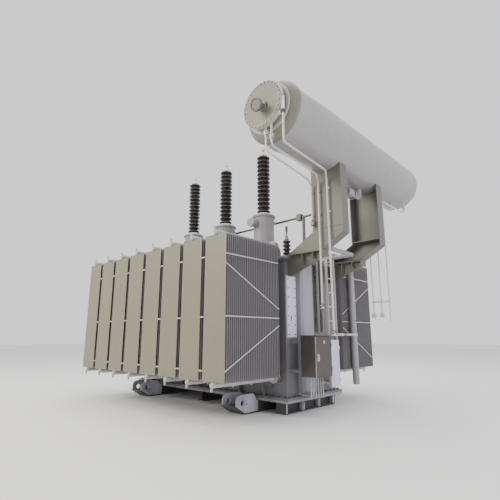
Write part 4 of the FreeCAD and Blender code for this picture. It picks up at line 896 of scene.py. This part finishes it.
class TRANSFORMER_OT_small_bushing(bpy.types.Operator):
    """Build the small neutral bushing and the current transformers' terminal box"""

    bl_idname = "transformer.small_bushing"
    bl_label = "Small bushing"

    def execute(self, context):
        low, high, centre, span = box_parts("small_bushing_porcelain")
        shed, core = span.x / 2, 0.048
        place = Vector((centre.x, centre.y, 0))
        spun("small_porcelain", "brown_glaze", "porcelain", place, Z,
             porcelain_profile(low.z, high.z, core, shed, 5), 36,
             replaced=("small_bushing_porcelain",), smooth=60.0)
        paint_nodes("casting", "small_bushing_flange")
        top_low, top_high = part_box("small_bushing_terminal")
        stud_top = top_high.z - (top_high.y - top_low.y) * 1.45
        fitting = bmesh.new()
        lathe(fitting, place, Z, [
            (0, top_low.z), (0.040, top_low.z), (0.042, top_low.z + 0.010),
            (0.034, top_low.z + 0.030), (0.032, top_low.z + 0.040), (0.018, top_low.z + 0.044),
            (0.018, stud_top), (0, stud_top)], 24)
        block(fitting, (place.x - 0.007, top_low.y, top_high.z - 0.130),
              (place.x + 0.007, top_high.y, top_high.z), 0.003)
        for across in (-0.02, 0.02):
            for drop in (0.03, 0.075):
                bolt(fitting, (place.x + 0.007, place.y + across, top_high.z - drop), X, 0.010)
        nut(fitting, place, top_low.z + 0.050, top_low.z + 0.070, 0.030)
        make_piece(fitting, "small_terminal", "gauge_casting", "bright_metal",
                   replaced=("small_bushing_terminal",))
        flange_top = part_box("small_bushing_flange")[1].z
        bolt_circle("small_bushing_bolts", place + Z * flange_top, Z, 0.074, 6, 0.009)
        self.terminal_box()
        return {"FINISHED"}

    def terminal_box(self):
        low, high, centre, span = box_parts("ct_terminal_box")
        radius, neck = span.x / 2, 0.12
        reach = span.y + neck
        spun("ct_box_drum", "tank_enamel", "tank_paint", (centre.x, high.y + neck, centre.z), -Y, [
            (0, 0), (radius - 0.025, 0), (radius - 0.025, reach - 0.062),
            (radius - 0.012, reach - 0.055), (radius, reach - 0.052), (radius, reach - 0.030),
            (radius - 0.002, reach - 0.028), (radius, reach - 0.026), (radius, reach - 0.008),
            (radius - 0.004, reach), (0, reach)], 40, replaced=("ct_terminal_box",))
        bolt_circle("ct_box_bolts", (centre.x, low.y + 0.006, centre.z), -Y, radius - 0.018, 8,
                    0.008)


# ----------------------------------------------------------------- conservator
SEAM_RISE = 0.003
NECK_RADIUS = 0.36


def drum_axis():
    """The drum's centre in the middle plane, and its radius over the seams."""
    _, _, centre, span = box_parts("conservator_shell")
    return Vector((centre.x, 0, centre.z)), span.x / 2


class TRANSFORMER_OT_conservator(bpy.types.Operator):
    """Build the conservator's drum, its heads and its bolted end cover"""

    bl_idname = "transformer.conservator"
    bl_label = "Conservator"

    def execute(self, context):
        axis, radius = drum_axis()
        self.drum(axis, radius)
        self.front_head(axis, radius)
        return {"FINISHED"}

    def drum(self, axis, radius):
        low, high, _, span = box_parts("conservator_shell")
        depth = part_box("conservator_rear_head")[1].y - high.y
        skin, bead = radius - SEAM_RISE, 0.007
        profile = [(0, 0), (skin, 0)]
        for share in (0.003, 1 / 3, 2 / 3, 0.997):
            at = span.y * share
            profile += [(skin, at - bead), (radius, at - bead / 2), (radius, at + bead / 2),
                        (skin, at + bead)]
        for step in range(13):
            angle = math.pi / 2 * step / 12
            profile.append((skin * math.cos(angle), span.y + depth * math.sin(angle)))
        profile[-1] = (0, span.y + depth)
        bm = bmesh.new()
        lathe(bm, (axis.x, low.y, axis.z), Y, profile, 96)
        for end in SIDES:
            for share in (0.30, 0.68):
                y = end * span.y / 2 * share
                block(bm, (axis.x - 0.014, y - 0.05, axis.z + radius - 0.10),
                      (axis.x + 0.014, y + 0.05, axis.z + radius - 0.004), 0.004)
        make_piece(bm, "conservator_drum", "drum_enamel", "drum_paint", smooth=35.0,
                   replaced=("conservator_shell", "conservator_rear_head"))

    def front_head(self, axis, radius):
        _, high, _, span = box_parts("conservator_front_head")
        cover_low, cover_high, _, cover = box_parts("conservator_end_cover")
        start = (axis.x, high.y, axis.z)
        skin = radius - SEAM_RISE
        ring_start, ring = 0.135, 0.41
        neck_end, rim = span.y, cover.x / 2
        curve = [(skin, 0), (skin - 0.002, 0.02), (skin - 0.012, 0.044), (skin - 0.03, 0.070),
                 (skin - 0.048, 0.090), (skin - 0.072, 0.1125), (skin - 0.095, 0.126),
                 (ring, ring_start)]
        bm = bmesh.new()
        lathe(bm, start, -Y, [(0, 0)] + curve + [(0, ring_start)], 96)
        lathe(bm, start, -Y, [(0, 0.1), (NECK_RADIUS, 0.1), (NECK_RADIUS, neck_end - 0.026),
                              (0, neck_end - 0.026)], 96)
        # The head and neck take the darker olive painted shade.
        make_piece(bm, "conservator_end", "head_shade_and_warm_light", "drum_paint", smooth=35.0,
                   replaced=("conservator_front_head",))
        bands = bmesh.new()
        lathe(bands, start, -Y, [(0, ring_start - 0.012), (ring + 0.004, ring_start - 0.012),
                                 (ring + 0.004, ring_start + 0.022), (ring, ring_start + 0.026),
                                 (0, ring_start + 0.026)], 96)
        lathe(bands, start, -Y, [(0, neck_end - 0.052), (rim, neck_end - 0.052),
                                 (rim, neck_end - 0.002), (0, neck_end - 0.002)], 96)
        make_piece(bands, "conservator_flanges", "brace_enamel", "drum_paint")
        # The cover's face takes the same painted shade; its rim stays in the brace paint.
        cap = spun("conservator_cover", "head_shade_and_warm_light", "drum_paint",
                   (axis.x, cover_high.y, axis.z), -Y, [
                       (0, 0), (rim, 0), (rim, cover.y - 0.003), (rim - 0.003, cover.y),
                       (0, cover.y)], 96, replaced=("conservator_end_cover",))
        paint_faces(cap, "brace_enamel", lambda face: abs(face.normal.y) < 0.5)
        bolt_circle("conservator_bolts", (axis.x, cover_low.y, axis.z), -Y, rim - 0.024, 28,
                    0.0125, 0.05)


class TRANSFORMER_OT_level_gauge(bpy.types.Operator):
    """Build the dial oil-level gauge on the conservator's cover"""

    bl_idname = "transformer.level_gauge"
    bl_label = "Oil level gauge"

    def execute(self, context):
        _, high, centre, span = box_parts("oil_level_gauge")
        radius, boss, stem, reach = span.x / 2, 0.085, 0.0525, 0.180
        foot = Vector((centre.x, high.y, high.z - boss))
        tilt = Matrix.Rotation(math.radians(15), 3, "X")
        way, rise = tilt @ -Y, tilt @ Z
        dial = reach - 0.060
        mount = bmesh.new()
        lathe(mount, foot, -Y, [(0, 0), (boss, 0), (boss, 0.026), (boss - 0.006, 0.032),
                                (0, 0.032)], 48)
        lathe(mount, foot, way, [(0, 0.016), (stem, 0.016), (stem, dial - 0.02),
                                 (stem + 0.022, dial), (0, dial)], 40)
        hardware(mount, "gauge_mount", finish="gauge_casting")
        spun("gauge_case", "gauge_shell", "gauge_case", foot, way, [
            (0, dial), (radius - 0.012, dial), (radius - 0.003, dial + 0.008),
            (radius, dial + 0.016), (radius, reach - 0.012), (radius - 0.004, reach - 0.003),
            (radius - 0.010, reach), (radius - 0.019, reach), (radius - 0.024, reach - 0.012),
            (0, reach - 0.012)], 56, replaced=("oil_level_gauge",))
        spun("gauge_face", "dial_face", "gauge_case", foot, way, [
            (0, reach - 0.013), (radius - 0.026, reach - 0.013),
            (radius - 0.026, reach - 0.010), (0, reach - 0.010)], 48)
        marks = bmesh.new()
        hub = foot + way * (reach - 0.009)
        for step in range(11):
            angle = math.radians(-30 + 24 * step)
            out = X * math.cos(angle) + rise * math.sin(angle)
            rod(marks, hub + out * (radius - 0.044), hub + out * (radius - 0.030), 0.0016, 6)
        needle = X * -0.62 + rise * 0.78
        rod(marks, hub + way * 0.003 - needle * 0.015, hub + way * 0.003 + needle * (radius - 0.04),
            0.003, 8, 0.001)
        rod(marks, hub, hub + way * 0.006, 0.008, 16)
        make_piece(marks, "gauge_needle", "dark_enamel", "gauge_case")
        bolt_circle("gauge_bolts", foot - Y * 0.032, -Y, 0.072, 6, 0.008)
        return {"FINISHED"}


class TRANSFORMER_OT_drum_legs(bpy.types.Operator):
    """Paint the conservator's legs and add their bolts and seams"""

    bl_idname = "transformer.drum_legs"
    bl_label = "Conservator legs"

    def execute(self, context):
        # The legs take painted shade with a warm-light tint.
        paint_nodes("leg_shade_and_warm_light", "front_leg", "rear_leg")
        bolts, seams = bmesh.new(), bmesh.new()
        for side, node in ((-1, "front_leg"), (1, "rear_leg")):
            low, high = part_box(node)
            inner, outer = (low.y, high.y) if side > 0 else (high.y, low.y)
            inset = 0.06
            foot_low, foot_high = low.x + inset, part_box("front_bracket")[1].x - inset
            for step in range(5):
                x = foot_low + (foot_high - foot_low) * step / 4
                for y in (outer - side * inset, inner + side * 0.05):
                    bolt(bolts, (x, y, low.z + 0.014), Z, 0.015)
            knee = low.z + 0.37
            rod(seams, (low.x + 0.585, outer, knee - 0.002), (high.x - 0.006, outer, knee - 0.002),
                0.005, 8)
        hardware(bolts, "leg_foot_bolts")
        # The knee welds share the legs' painted shade.
        make_piece(seams, "leg_knee_welds", "leg_shade_and_warm_light", "tank_paint")
        return {"FINISHED"}


# ----------------------------------------------------------------------- pipes
def lever(bm, start, way, reach, width=0.013):
    """A flat valve lever with a rounded grip."""
    start, way = Vector(start), Vector(way).normalized()
    rod(bm, start, start + way * reach * 0.45, width * 0.45, 10)
    rod(bm, start + way * reach * 0.4, start + way * reach, width * 0.8, 12, width * 0.65)


class TRANSFORMER_OT_pipes(bpy.types.Operator):
    """Paint the oil pipes and add valve levers, unions and clamps"""

    bl_idname = "transformer.pipes"
    bl_label = "Pipes"

    def execute(self, context):
        paint_nodes("pipe_enamel", "conservator_down_pipes", "rear_down_pipes", "drain_pipes")
        paint_nodes("tank_enamel", "main_oil_pipe", "relief_valve", "relief_duct")
        # The gas header pipe takes the legs' painted shade.
        paint_nodes("leg_shade_and_warm_light", "gas_header_pipe")
        low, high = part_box("conservator_down_pipes")
        axis = drum_axis()[0]
        pale, dark, black = bmesh.new(), bmesh.new(), bmesh.new()
        under = axis.z - NECK_RADIUS + 0.035
        for across, drop in ((0.014, 0.130), (0.126, 0.225)):
            top = Vector((axis.x + across, low.y + 0.05, under - drop))
            rod(pale, top, top + Vector((0.0, -0.035, 0)), 0.011, 12)
            lever(pale, top + Vector((0, -0.030, 0)), (0.25, -0.05, -1), 0.12)
            for z in (-0.034, 0.034):
                nut(dark, top, z - 0.008, z + 0.008, 0.027)
        for across, z in ((-0.29, 3.38), (-0.15, 1.86), (0.06, 1.41)):
            end = Vector((axis.x + across, high.y - 0.058, z))
            rod(dark, end, end + Vector((0.0, -0.034, 0)), 0.010, 12)
            lever(dark, end + Vector((0, -0.030, 0)), (0.9, -0.1, 0.35), 0.11)
            nut(dark, end, -0.058, -0.038, 0.027)
            nut(dark, end, 0.038, 0.054, 0.027)
        sight = Vector((axis.x + 0.376, low.y + 0.02, axis.z - 0.247))
        block(black, sight - Vector((0.036, 0.026, 0.022)), sight + Vector((0.028, 0.026, 0.022)),
              0.006)
        rod(pale, sight + Z * 0.030, sight + Z * 0.250, 0.0235, 20)
        for z in (0.028, 0.246):
            nut(dark, sight, z - 0.008, z + 0.008, 0.0265)
        self.relief(dark)
        self.stay(dark)
        make_piece(pale, "valve_levers", "white_lacquer", "pipe_paint")
        make_piece(dark, "valve_hardware", "dark_enamel", "pipe_paint")
        make_piece(black, "sight_pipe_clamps", "black_rubber", "gauge_case")
        return {"FINISHED"}

    def relief(self, bolts):
        """Bolts of the relief valve's flange and of its duct's clamps."""
        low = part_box("relief_valve")[0]
        ring_of_bolts(bolts, (low.x + 0.13, low.y + 0.13, low.z + 0.024), Z, 0.115, 10, 0.010)
        duct_radius = 0.08
        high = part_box("relief_duct")[1]
        x, y = high.x - duct_radius, high.y - duct_radius
        for z in (2.74, 1.708):
            for across in SIDES:
                start = x + across * 0.079
                block(bolts, (start - 0.010, y - 0.012, z - 0.022),
                      (start + 0.001 * across + 0.010, y + 0.012, z + 0.022), 0.003)

    def stay(self, bolts):
        """Union nuts on the level pipe that steadies the duct."""
        low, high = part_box("drain_pipes")
        for y in (low.y + 0.30, low.y + 0.36):
            rod(bolts, (high.x - 0.08, y, 1.40), (high.x - 0.08, y + 0.020, 1.40), 0.0335, 6)


class TRANSFORMER_OT_gas_relay(bpy.types.Operator):
    """Build the gas relay with its sight windows, dome and flange bolts"""

    bl_idname = "transformer.gas_relay"
    bl_label = "Gas relay"

    def execute(self, context):
        low, high, centre, span = box_parts("gas_relay")
        flange, dome = span.x / 2, 0.11
        axis_z = high.z - dome
        bm, window, bolts = bmesh.new(), bmesh.new(), bmesh.new()
        lathe(bm, (centre.x, low.y, axis_z), Y, [
            (0, 0), (flange, 0), (flange, 0.020), (0.050, 0.022), (0.062, 0.050),
            (0.062, span.y - 0.050), (0.050, span.y - 0.022), (flange, span.y - 0.020),
            (flange, span.y), (0, span.y)], 40)
        block(bm, (centre.x - 0.078, low.y + 0.034, axis_z - 0.075),
              (centre.x + 0.078, high.y - 0.034, axis_z + 0.052), 0.014, 3)
        block(bm, (centre.x - 0.086, low.y + 0.040, axis_z + 0.040),
              (centre.x + 0.086, high.y - 0.040, axis_z + 0.060), 0.005)
        lathe(bm, (centre.x, centre.y, axis_z + 0.056), Z, [
            (0, 0), (0.043, 0), (0.043, 0.022), (0.034, 0.034), (0.020, 0.040),
            (0.020, dome - 0.058), (0, dome - 0.056)], 28)
        pane = 0.004
        for side in SIDES:
            face = centre.x + side * 0.078
            middle = face + side * pane / 2
            block(window, (middle - pane / 2, centre.y - 0.045, axis_z - 0.040),
                  (middle + pane / 2, centre.y + 0.045, axis_z + 0.018), 0.0015)
            for y in (-0.054, 0.054):
                for z in (-0.048, 0.026):
                    bolt(bolts, (face, centre.y + y, axis_z + z), X * side, 0.006)
        for y, axis in ((low.y + 0.020, Y), (high.y - 0.020, -Y)):
            ring_of_bolts(bolts, (centre.x, y, axis_z), axis, flange - 0.016, 8, 0.009)
        make_piece(bm, "relay_body", "relay_enamel", "pipe_paint", replaced=("gas_relay",))
        make_piece(window, "relay_windows", "gauge_glass", "gauge_case")
        hardware(bolts, "relay_bolts")
        return {"FINISHED"}


# --------------------------------------------------------------------- cabinet
class TRANSFORMER_OT_cabinet(bpy.types.Operator):
    """Finish the control cabinet and fit its terminal plate, rails and conduit glands"""

    bl_idname = "transformer.cabinet"
    bl_label = "Cabinet"

    def execute(self, context):
        paint_nodes("brushed_stainless", "cabinet_body", "cabinet_door")
        paint_nodes("bright_edge", "cabinet_arms")
        paint_nodes("casting", "cabinet_handle", "cabinet_door_vent")
        paint_nodes("zinc", "cabinet_conduits")
        low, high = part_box("cabinet_body")
        back, wall = low.x + 0.016, 0.004
        box_low_y, box_high_y = -0.75, -0.24
        inner_low_y, inner_high_y = box_low_y + wall, box_high_y - wall
        plate, rails, blocks, glands = (bmesh.new() for _ in range(4))
        block(plate, (back, inner_low_y + 0.03, low.z + 0.05),
              (back + 0.003, inner_high_y - 0.03, high.z - 0.07), 0.001)
        make_piece(plate, "cabinet_plate", "casting", "cabinet_steel")
        first_row, row_pitch, terminal_pitch, terminals = 0.17, 0.19, 0.012, 28
        for row in range(3):
            z = low.z + first_row + row_pitch * row
            block(rails, (back + 0.003, inner_low_y + 0.05, z - 0.018),
                  (back + 0.011, inner_high_y - 0.05, z + 0.018), 0.001)
            block(rails, (back + 0.003, inner_low_y + 0.05, z - 0.085),
                  (back + 0.055, inner_high_y - 0.05, z - 0.050), 0.002)
            block(blocks, (back + 0.011, inner_low_y + 0.07, z - 0.028),
                  (back + 0.052, inner_low_y + 0.079, z + 0.028), 0.001)
        copies(blocks, everything(blocks), [Vector((0, terminal_pitch * step, 0))
                                            for step in range(1, terminals)])
        hardware(rails, "cabinet_rails")
        make_piece(blocks, "cabinet_terminals", "terminal_plastic", "gauge_case")
        conduit_x, first_y = 2.775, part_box("cabinet_conduits")[0].y + 0.02
        for step in range(6):
            place = Vector((conduit_x, first_y + 0.37 * step / 5, low.z))
            nut(glands, place, -0.030, -0.0005, 0.019)
        hardware(glands, "conduit_glands")
        self.door()
        return {"FINISHED"}

    def door(self):
        """Raised stiffening rim, edge strip and handle boss that swing with the door."""
        low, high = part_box("cabinet_door")
        edge, seams, knob = bmesh.new(), bmesh.new(), bmesh.new()
        face = high.x
        block(edge, (low.x + 0.001, low.y - 0.0015, low.z + 0.001),
              (face + 0.0015, low.y + 0.008, high.z - 0.001), 0.002)
        make_piece(edge, "door_edge", "bright_edge", "cabinet_steel", DOOR)
        inset, line = 0.026, 0.0022
        low_y, high_y = low.y + inset, -0.248 - inset
        low_z, high_z = low.z + inset, high.z - inset
        for start, end in (((low_y, low_z), (high_y, low_z)), ((high_y, low_z), (high_y, high_z)),
                           ((high_y, high_z), (low_y, high_z)), ((low_y, high_z), (low_y, low_z))):
            rod(seams, (face, *start), (face, *end), line, 8)
        make_piece(seams, "door_rim", "brushed_stainless", "cabinet_steel", DOOR)
        handle_low, handle_high, handle, _ = box_parts("cabinet_handle")
        rod(knob, (face, handle.y, handle_low.z + 0.022), (handle_low.x + 0.014, handle.y,
                                                           handle_low.z + 0.022), 0.011, 20)
        for z in (handle_low.z + 0.008, handle_high.z - 0.008):
            bolt(knob, (face + 0.008, handle.y, z), X, 0.004, washer=False)
        _, vent, middle, _ = box_parts("cabinet_door_vent")
        rod(knob, (vent.x - 0.001, middle.y, middle.z), (vent.x + 0.001, middle.y, middle.z),
            0.017, 24)
        hardware(knob, "door_fittings", DOOR)


# ------------------------------------------------------------ ladder and tray
class TRANSFORMER_OT_ladder(bpy.types.Operator):
    """Finish the ladder and put rivets on its guard plate"""

    bl_idname = "transformer.ladder"
    bl_label = "Ladder"

    def execute(self, context):
        paint_nodes("pipe_enamel", "ladder")
        # The guard takes painted cool light.
        paint_nodes("guard_painted_light", "ladder_guard")
        low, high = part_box("ladder_guard")
        rivets = bmesh.new()
        for y in (low.y + 0.02, high.y - 0.060):
            for step in range(6):
                z = low.z + 0.05 + (high.z - low.z - 0.10) * step / 5
                rod(rivets, (high.x - 0.0005, y, z), (high.x + 0.0022, y, z), 0.0055, 10, 0.003)
        hardware(rivets, "guard_rivets", GUARD)
        low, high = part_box("ladder")
        feet = bmesh.new()
        for z in (low.z + 0.30, high.z - 0.35):
            for y in (low.y + 0.006, high.y - 0.006):
                bolt(feet, (high.x, y, z), X, 0.008)
        hardware(feet, "ladder_bolts")
        return {"FINISHED"}


class TRANSFORMER_OT_cable_tray(bpy.types.Operator):
    """Build the slotted cable tray on the tank's end wall"""

    bl_idname = "transformer.cable_tray"
    bl_label = "Cable tray"

    def execute(self, context):
        low, high, centre, span = box_parts("cable_tray")
        depth, wall, lip, side_strip, rib = 0.045, 0.0025, 0.014, 0.036, 0.020
        front = high.x - depth
        bm = bmesh.new()
        for y in (low.y, high.y - wall):
            block(bm, (front, y, low.z), (high.x, y + wall, high.z))
        for y in (low.y, high.y - lip):
            block(bm, (high.x - wall, y, low.z), (high.x, y + lip, high.z))
        for y, wide in ((low.y, side_strip), (centre.y - rib / 2, rib),
                        (high.y - side_strip, side_strip)):
            block(bm, (front, y, low.z), (front + wall, y + wide, high.z))
        pitch = sizes().slot_pitch
        for step in range(int(span.z / pitch)):
            z = low.z + step * pitch
            block(bm, (front, low.y, z), (front + wall, high.y, z + pitch * 0.42))
        for z in (low.z + 0.25, (low.z + high.z) / 2, high.z - 0.3):
            block(bm, (low.x, centre.y - 0.03, z - 0.02), (front, centre.y + 0.03, z + 0.02), 0.002)
        make_piece(bm, "slotted_tray", "brace_enamel", "bright_metal", replaced=("cable_tray",))
        cables = bmesh.new()
        for across, radius in ((-0.042, 0.011), (-0.016, 0.009), (0.012, 0.012), (0.042, 0.009)):
            y = centre.y + across
            rod(cables, (front + wall + radius + 0.001, y, low.z + 0.004),
                (front + wall + radius + 0.001, y, high.z - 0.004), radius, 12)
        make_piece(cables, "tray_cables", "black_rubber", "gauge_case")
        return {"FINISHED"}


# ----------------------------------------------------------------------- stage
ROOM = {"Color": (0.93, 0.93, 0.95, 1.0), "Strength": 1.28}
LAMPS_AIM = Vector((0.6, 0, 2.4))
# Name, place, side length, watts and tint of each square lamp.
LAMPS = (
    ("warm_key", (-3.5, -13.0, 9.0), 9.0, 1750.0, (1.0, 0.95, 0.80)),
    ("cool_fill", (15.0, 1.0, 5.5), 9.0, 620.0, (0.90, 0.88, 1.0)),
    ("top_sheet", (1.0, 0.5, 14.0), 11.0, 1100.0, (1.0, 0.99, 0.97)),
    ("rear_rim", (-9.0, 11.0, 8.0), 7.0, 450.0, (0.95, 0.97, 1.0)))
CAMERA_PLACE = (6.9035, -6.6033, 1.3833)
CAMERA_WAY = (-0.6707, 0.7100, 0.2145)
LENS, SENSOR = 27.998, 36.0
FLOOR_SIZE, FLOOR_DROP = 60.0, 0.0005


class TRANSFORMER_OT_stage(bpy.types.Operator):
    """Lay the pale floor, set the soft lights and place the camera"""

    bl_idname = "transformer.stage"
    bl_label = "Stage"

    def execute(self, context):
        scene = context.scene
        bm = bmesh.new()
        bmesh.ops.create_grid(bm, x_segments=1, y_segments=1, size=FLOOR_SIZE,
                              matrix=Matrix.Translation(Z * -FLOOR_DROP))
        mesh = bpy.data.meshes.new("studio_floor")
        bm.to_mesh(mesh)
        bm.free()
        mesh.materials.append(finish_of("floor"))
        floor = bpy.data.objects.new("studio_floor", mesh)
        scene.collection.objects.link(floor)
        world = bpy.data.worlds.new("pale_room")
        world.use_nodes = True
        world.node_tree.nodes.clear()
        back = add(world.node_tree, "ShaderNodeBackground", ROOM)
        add(world.node_tree, "ShaderNodeOutputWorld", {0: back.outputs[0]})
        scene.world = world
        for name, place, size, power, tint in LAMPS:
            light = bpy.data.lights.new(name, "AREA")
            light.shape, light.size, light.energy, light.color = "SQUARE", size, power, tint
            lamp = bpy.data.objects.new(name, light)
            lamp.location = place
            lamp.rotation_euler = (LAMPS_AIM - Vector(place)).to_track_quat("-Z", "Y").to_euler()
            scene.collection.objects.link(lamp)
        self.camera(scene)
        return {"FINISHED"}

    def camera(self, scene):
        """An unrolled camera off the front corner, looking slightly up."""
        held = bpy.data.cameras.new("main_camera")
        held.lens, held.sensor_width = LENS, SENSOR
        camera = bpy.data.objects.new("main_camera", held)
        forward = Vector(CAMERA_WAY).normalized()
        right = forward.cross(Z).normalized()
        up = right.cross(forward)
        turn = Matrix((right, up, -forward)).transposed().to_4x4()
        camera.matrix_world = Matrix.Translation(CAMERA_PLACE) @ turn
        scene.collection.objects.link(camera)
        scene.camera = camera


class TRANSFORMER_PT_panel(bpy.types.Panel):
    """Sizes, colours and the steps that build the finish"""

    bl_idname = "TRANSFORMER_PT_panel"
    bl_label = "Transformer"
    bl_space_type = "VIEW_3D"
    bl_region_type = "UI"
    bl_category = "Transformer"

    def draw(self, context):
        layout = self.layout
        for group in (sizes(), colours()):
            column = layout.column(align=True)
            for key in group.bl_rna.properties.keys():
                if key not in ("rna_type", "name"):
                    column.prop(group, key)
        for operator in OPERATORS:
            layout.operator(operator.bl_idname)


SETTINGS = (TransformerSizes, TransformerColours)
OPERATORS = (
    TRANSFORMER_OT_ground_frame, TRANSFORMER_OT_tank, TRANSFORMER_OT_radiators,
    TRANSFORMER_OT_radiator_valves, TRANSFORMER_OT_bushings, TRANSFORMER_OT_small_bushing,
    TRANSFORMER_OT_conservator, TRANSFORMER_OT_level_gauge, TRANSFORMER_OT_drum_legs,
    TRANSFORMER_OT_pipes, TRANSFORMER_OT_gas_relay, TRANSFORMER_OT_cabinet,
    TRANSFORMER_OT_ladder, TRANSFORMER_OT_cable_tray, TRANSFORMER_OT_stage)


def register():
    for made in SETTINGS + OPERATORS + (TRANSFORMER_PT_panel,):
        bpy.utils.register_class(made)
    bpy.types.Scene.transformer_sizes = PointerProperty(type=TransformerSizes)
    bpy.types.Scene.transformer_colours = PointerProperty(type=TransformerColours)


def unregister():
    del bpy.types.Scene.transformer_colours
    del bpy.types.Scene.transformer_sizes
    for made in reversed(SETTINGS + OPERATORS + (TRANSFORMER_PT_panel,)):
        bpy.utils.unregister_class(made)


def main():
    register()
    for operator in OPERATORS:
        family, name = operator.bl_idname.split(".")
        result = getattr(getattr(bpy.ops, family), name)()
        if result != {"FINISHED"}:
            raise RuntimeError(operator.bl_label + " did not finish")


if __name__ == "__main__":
    main()
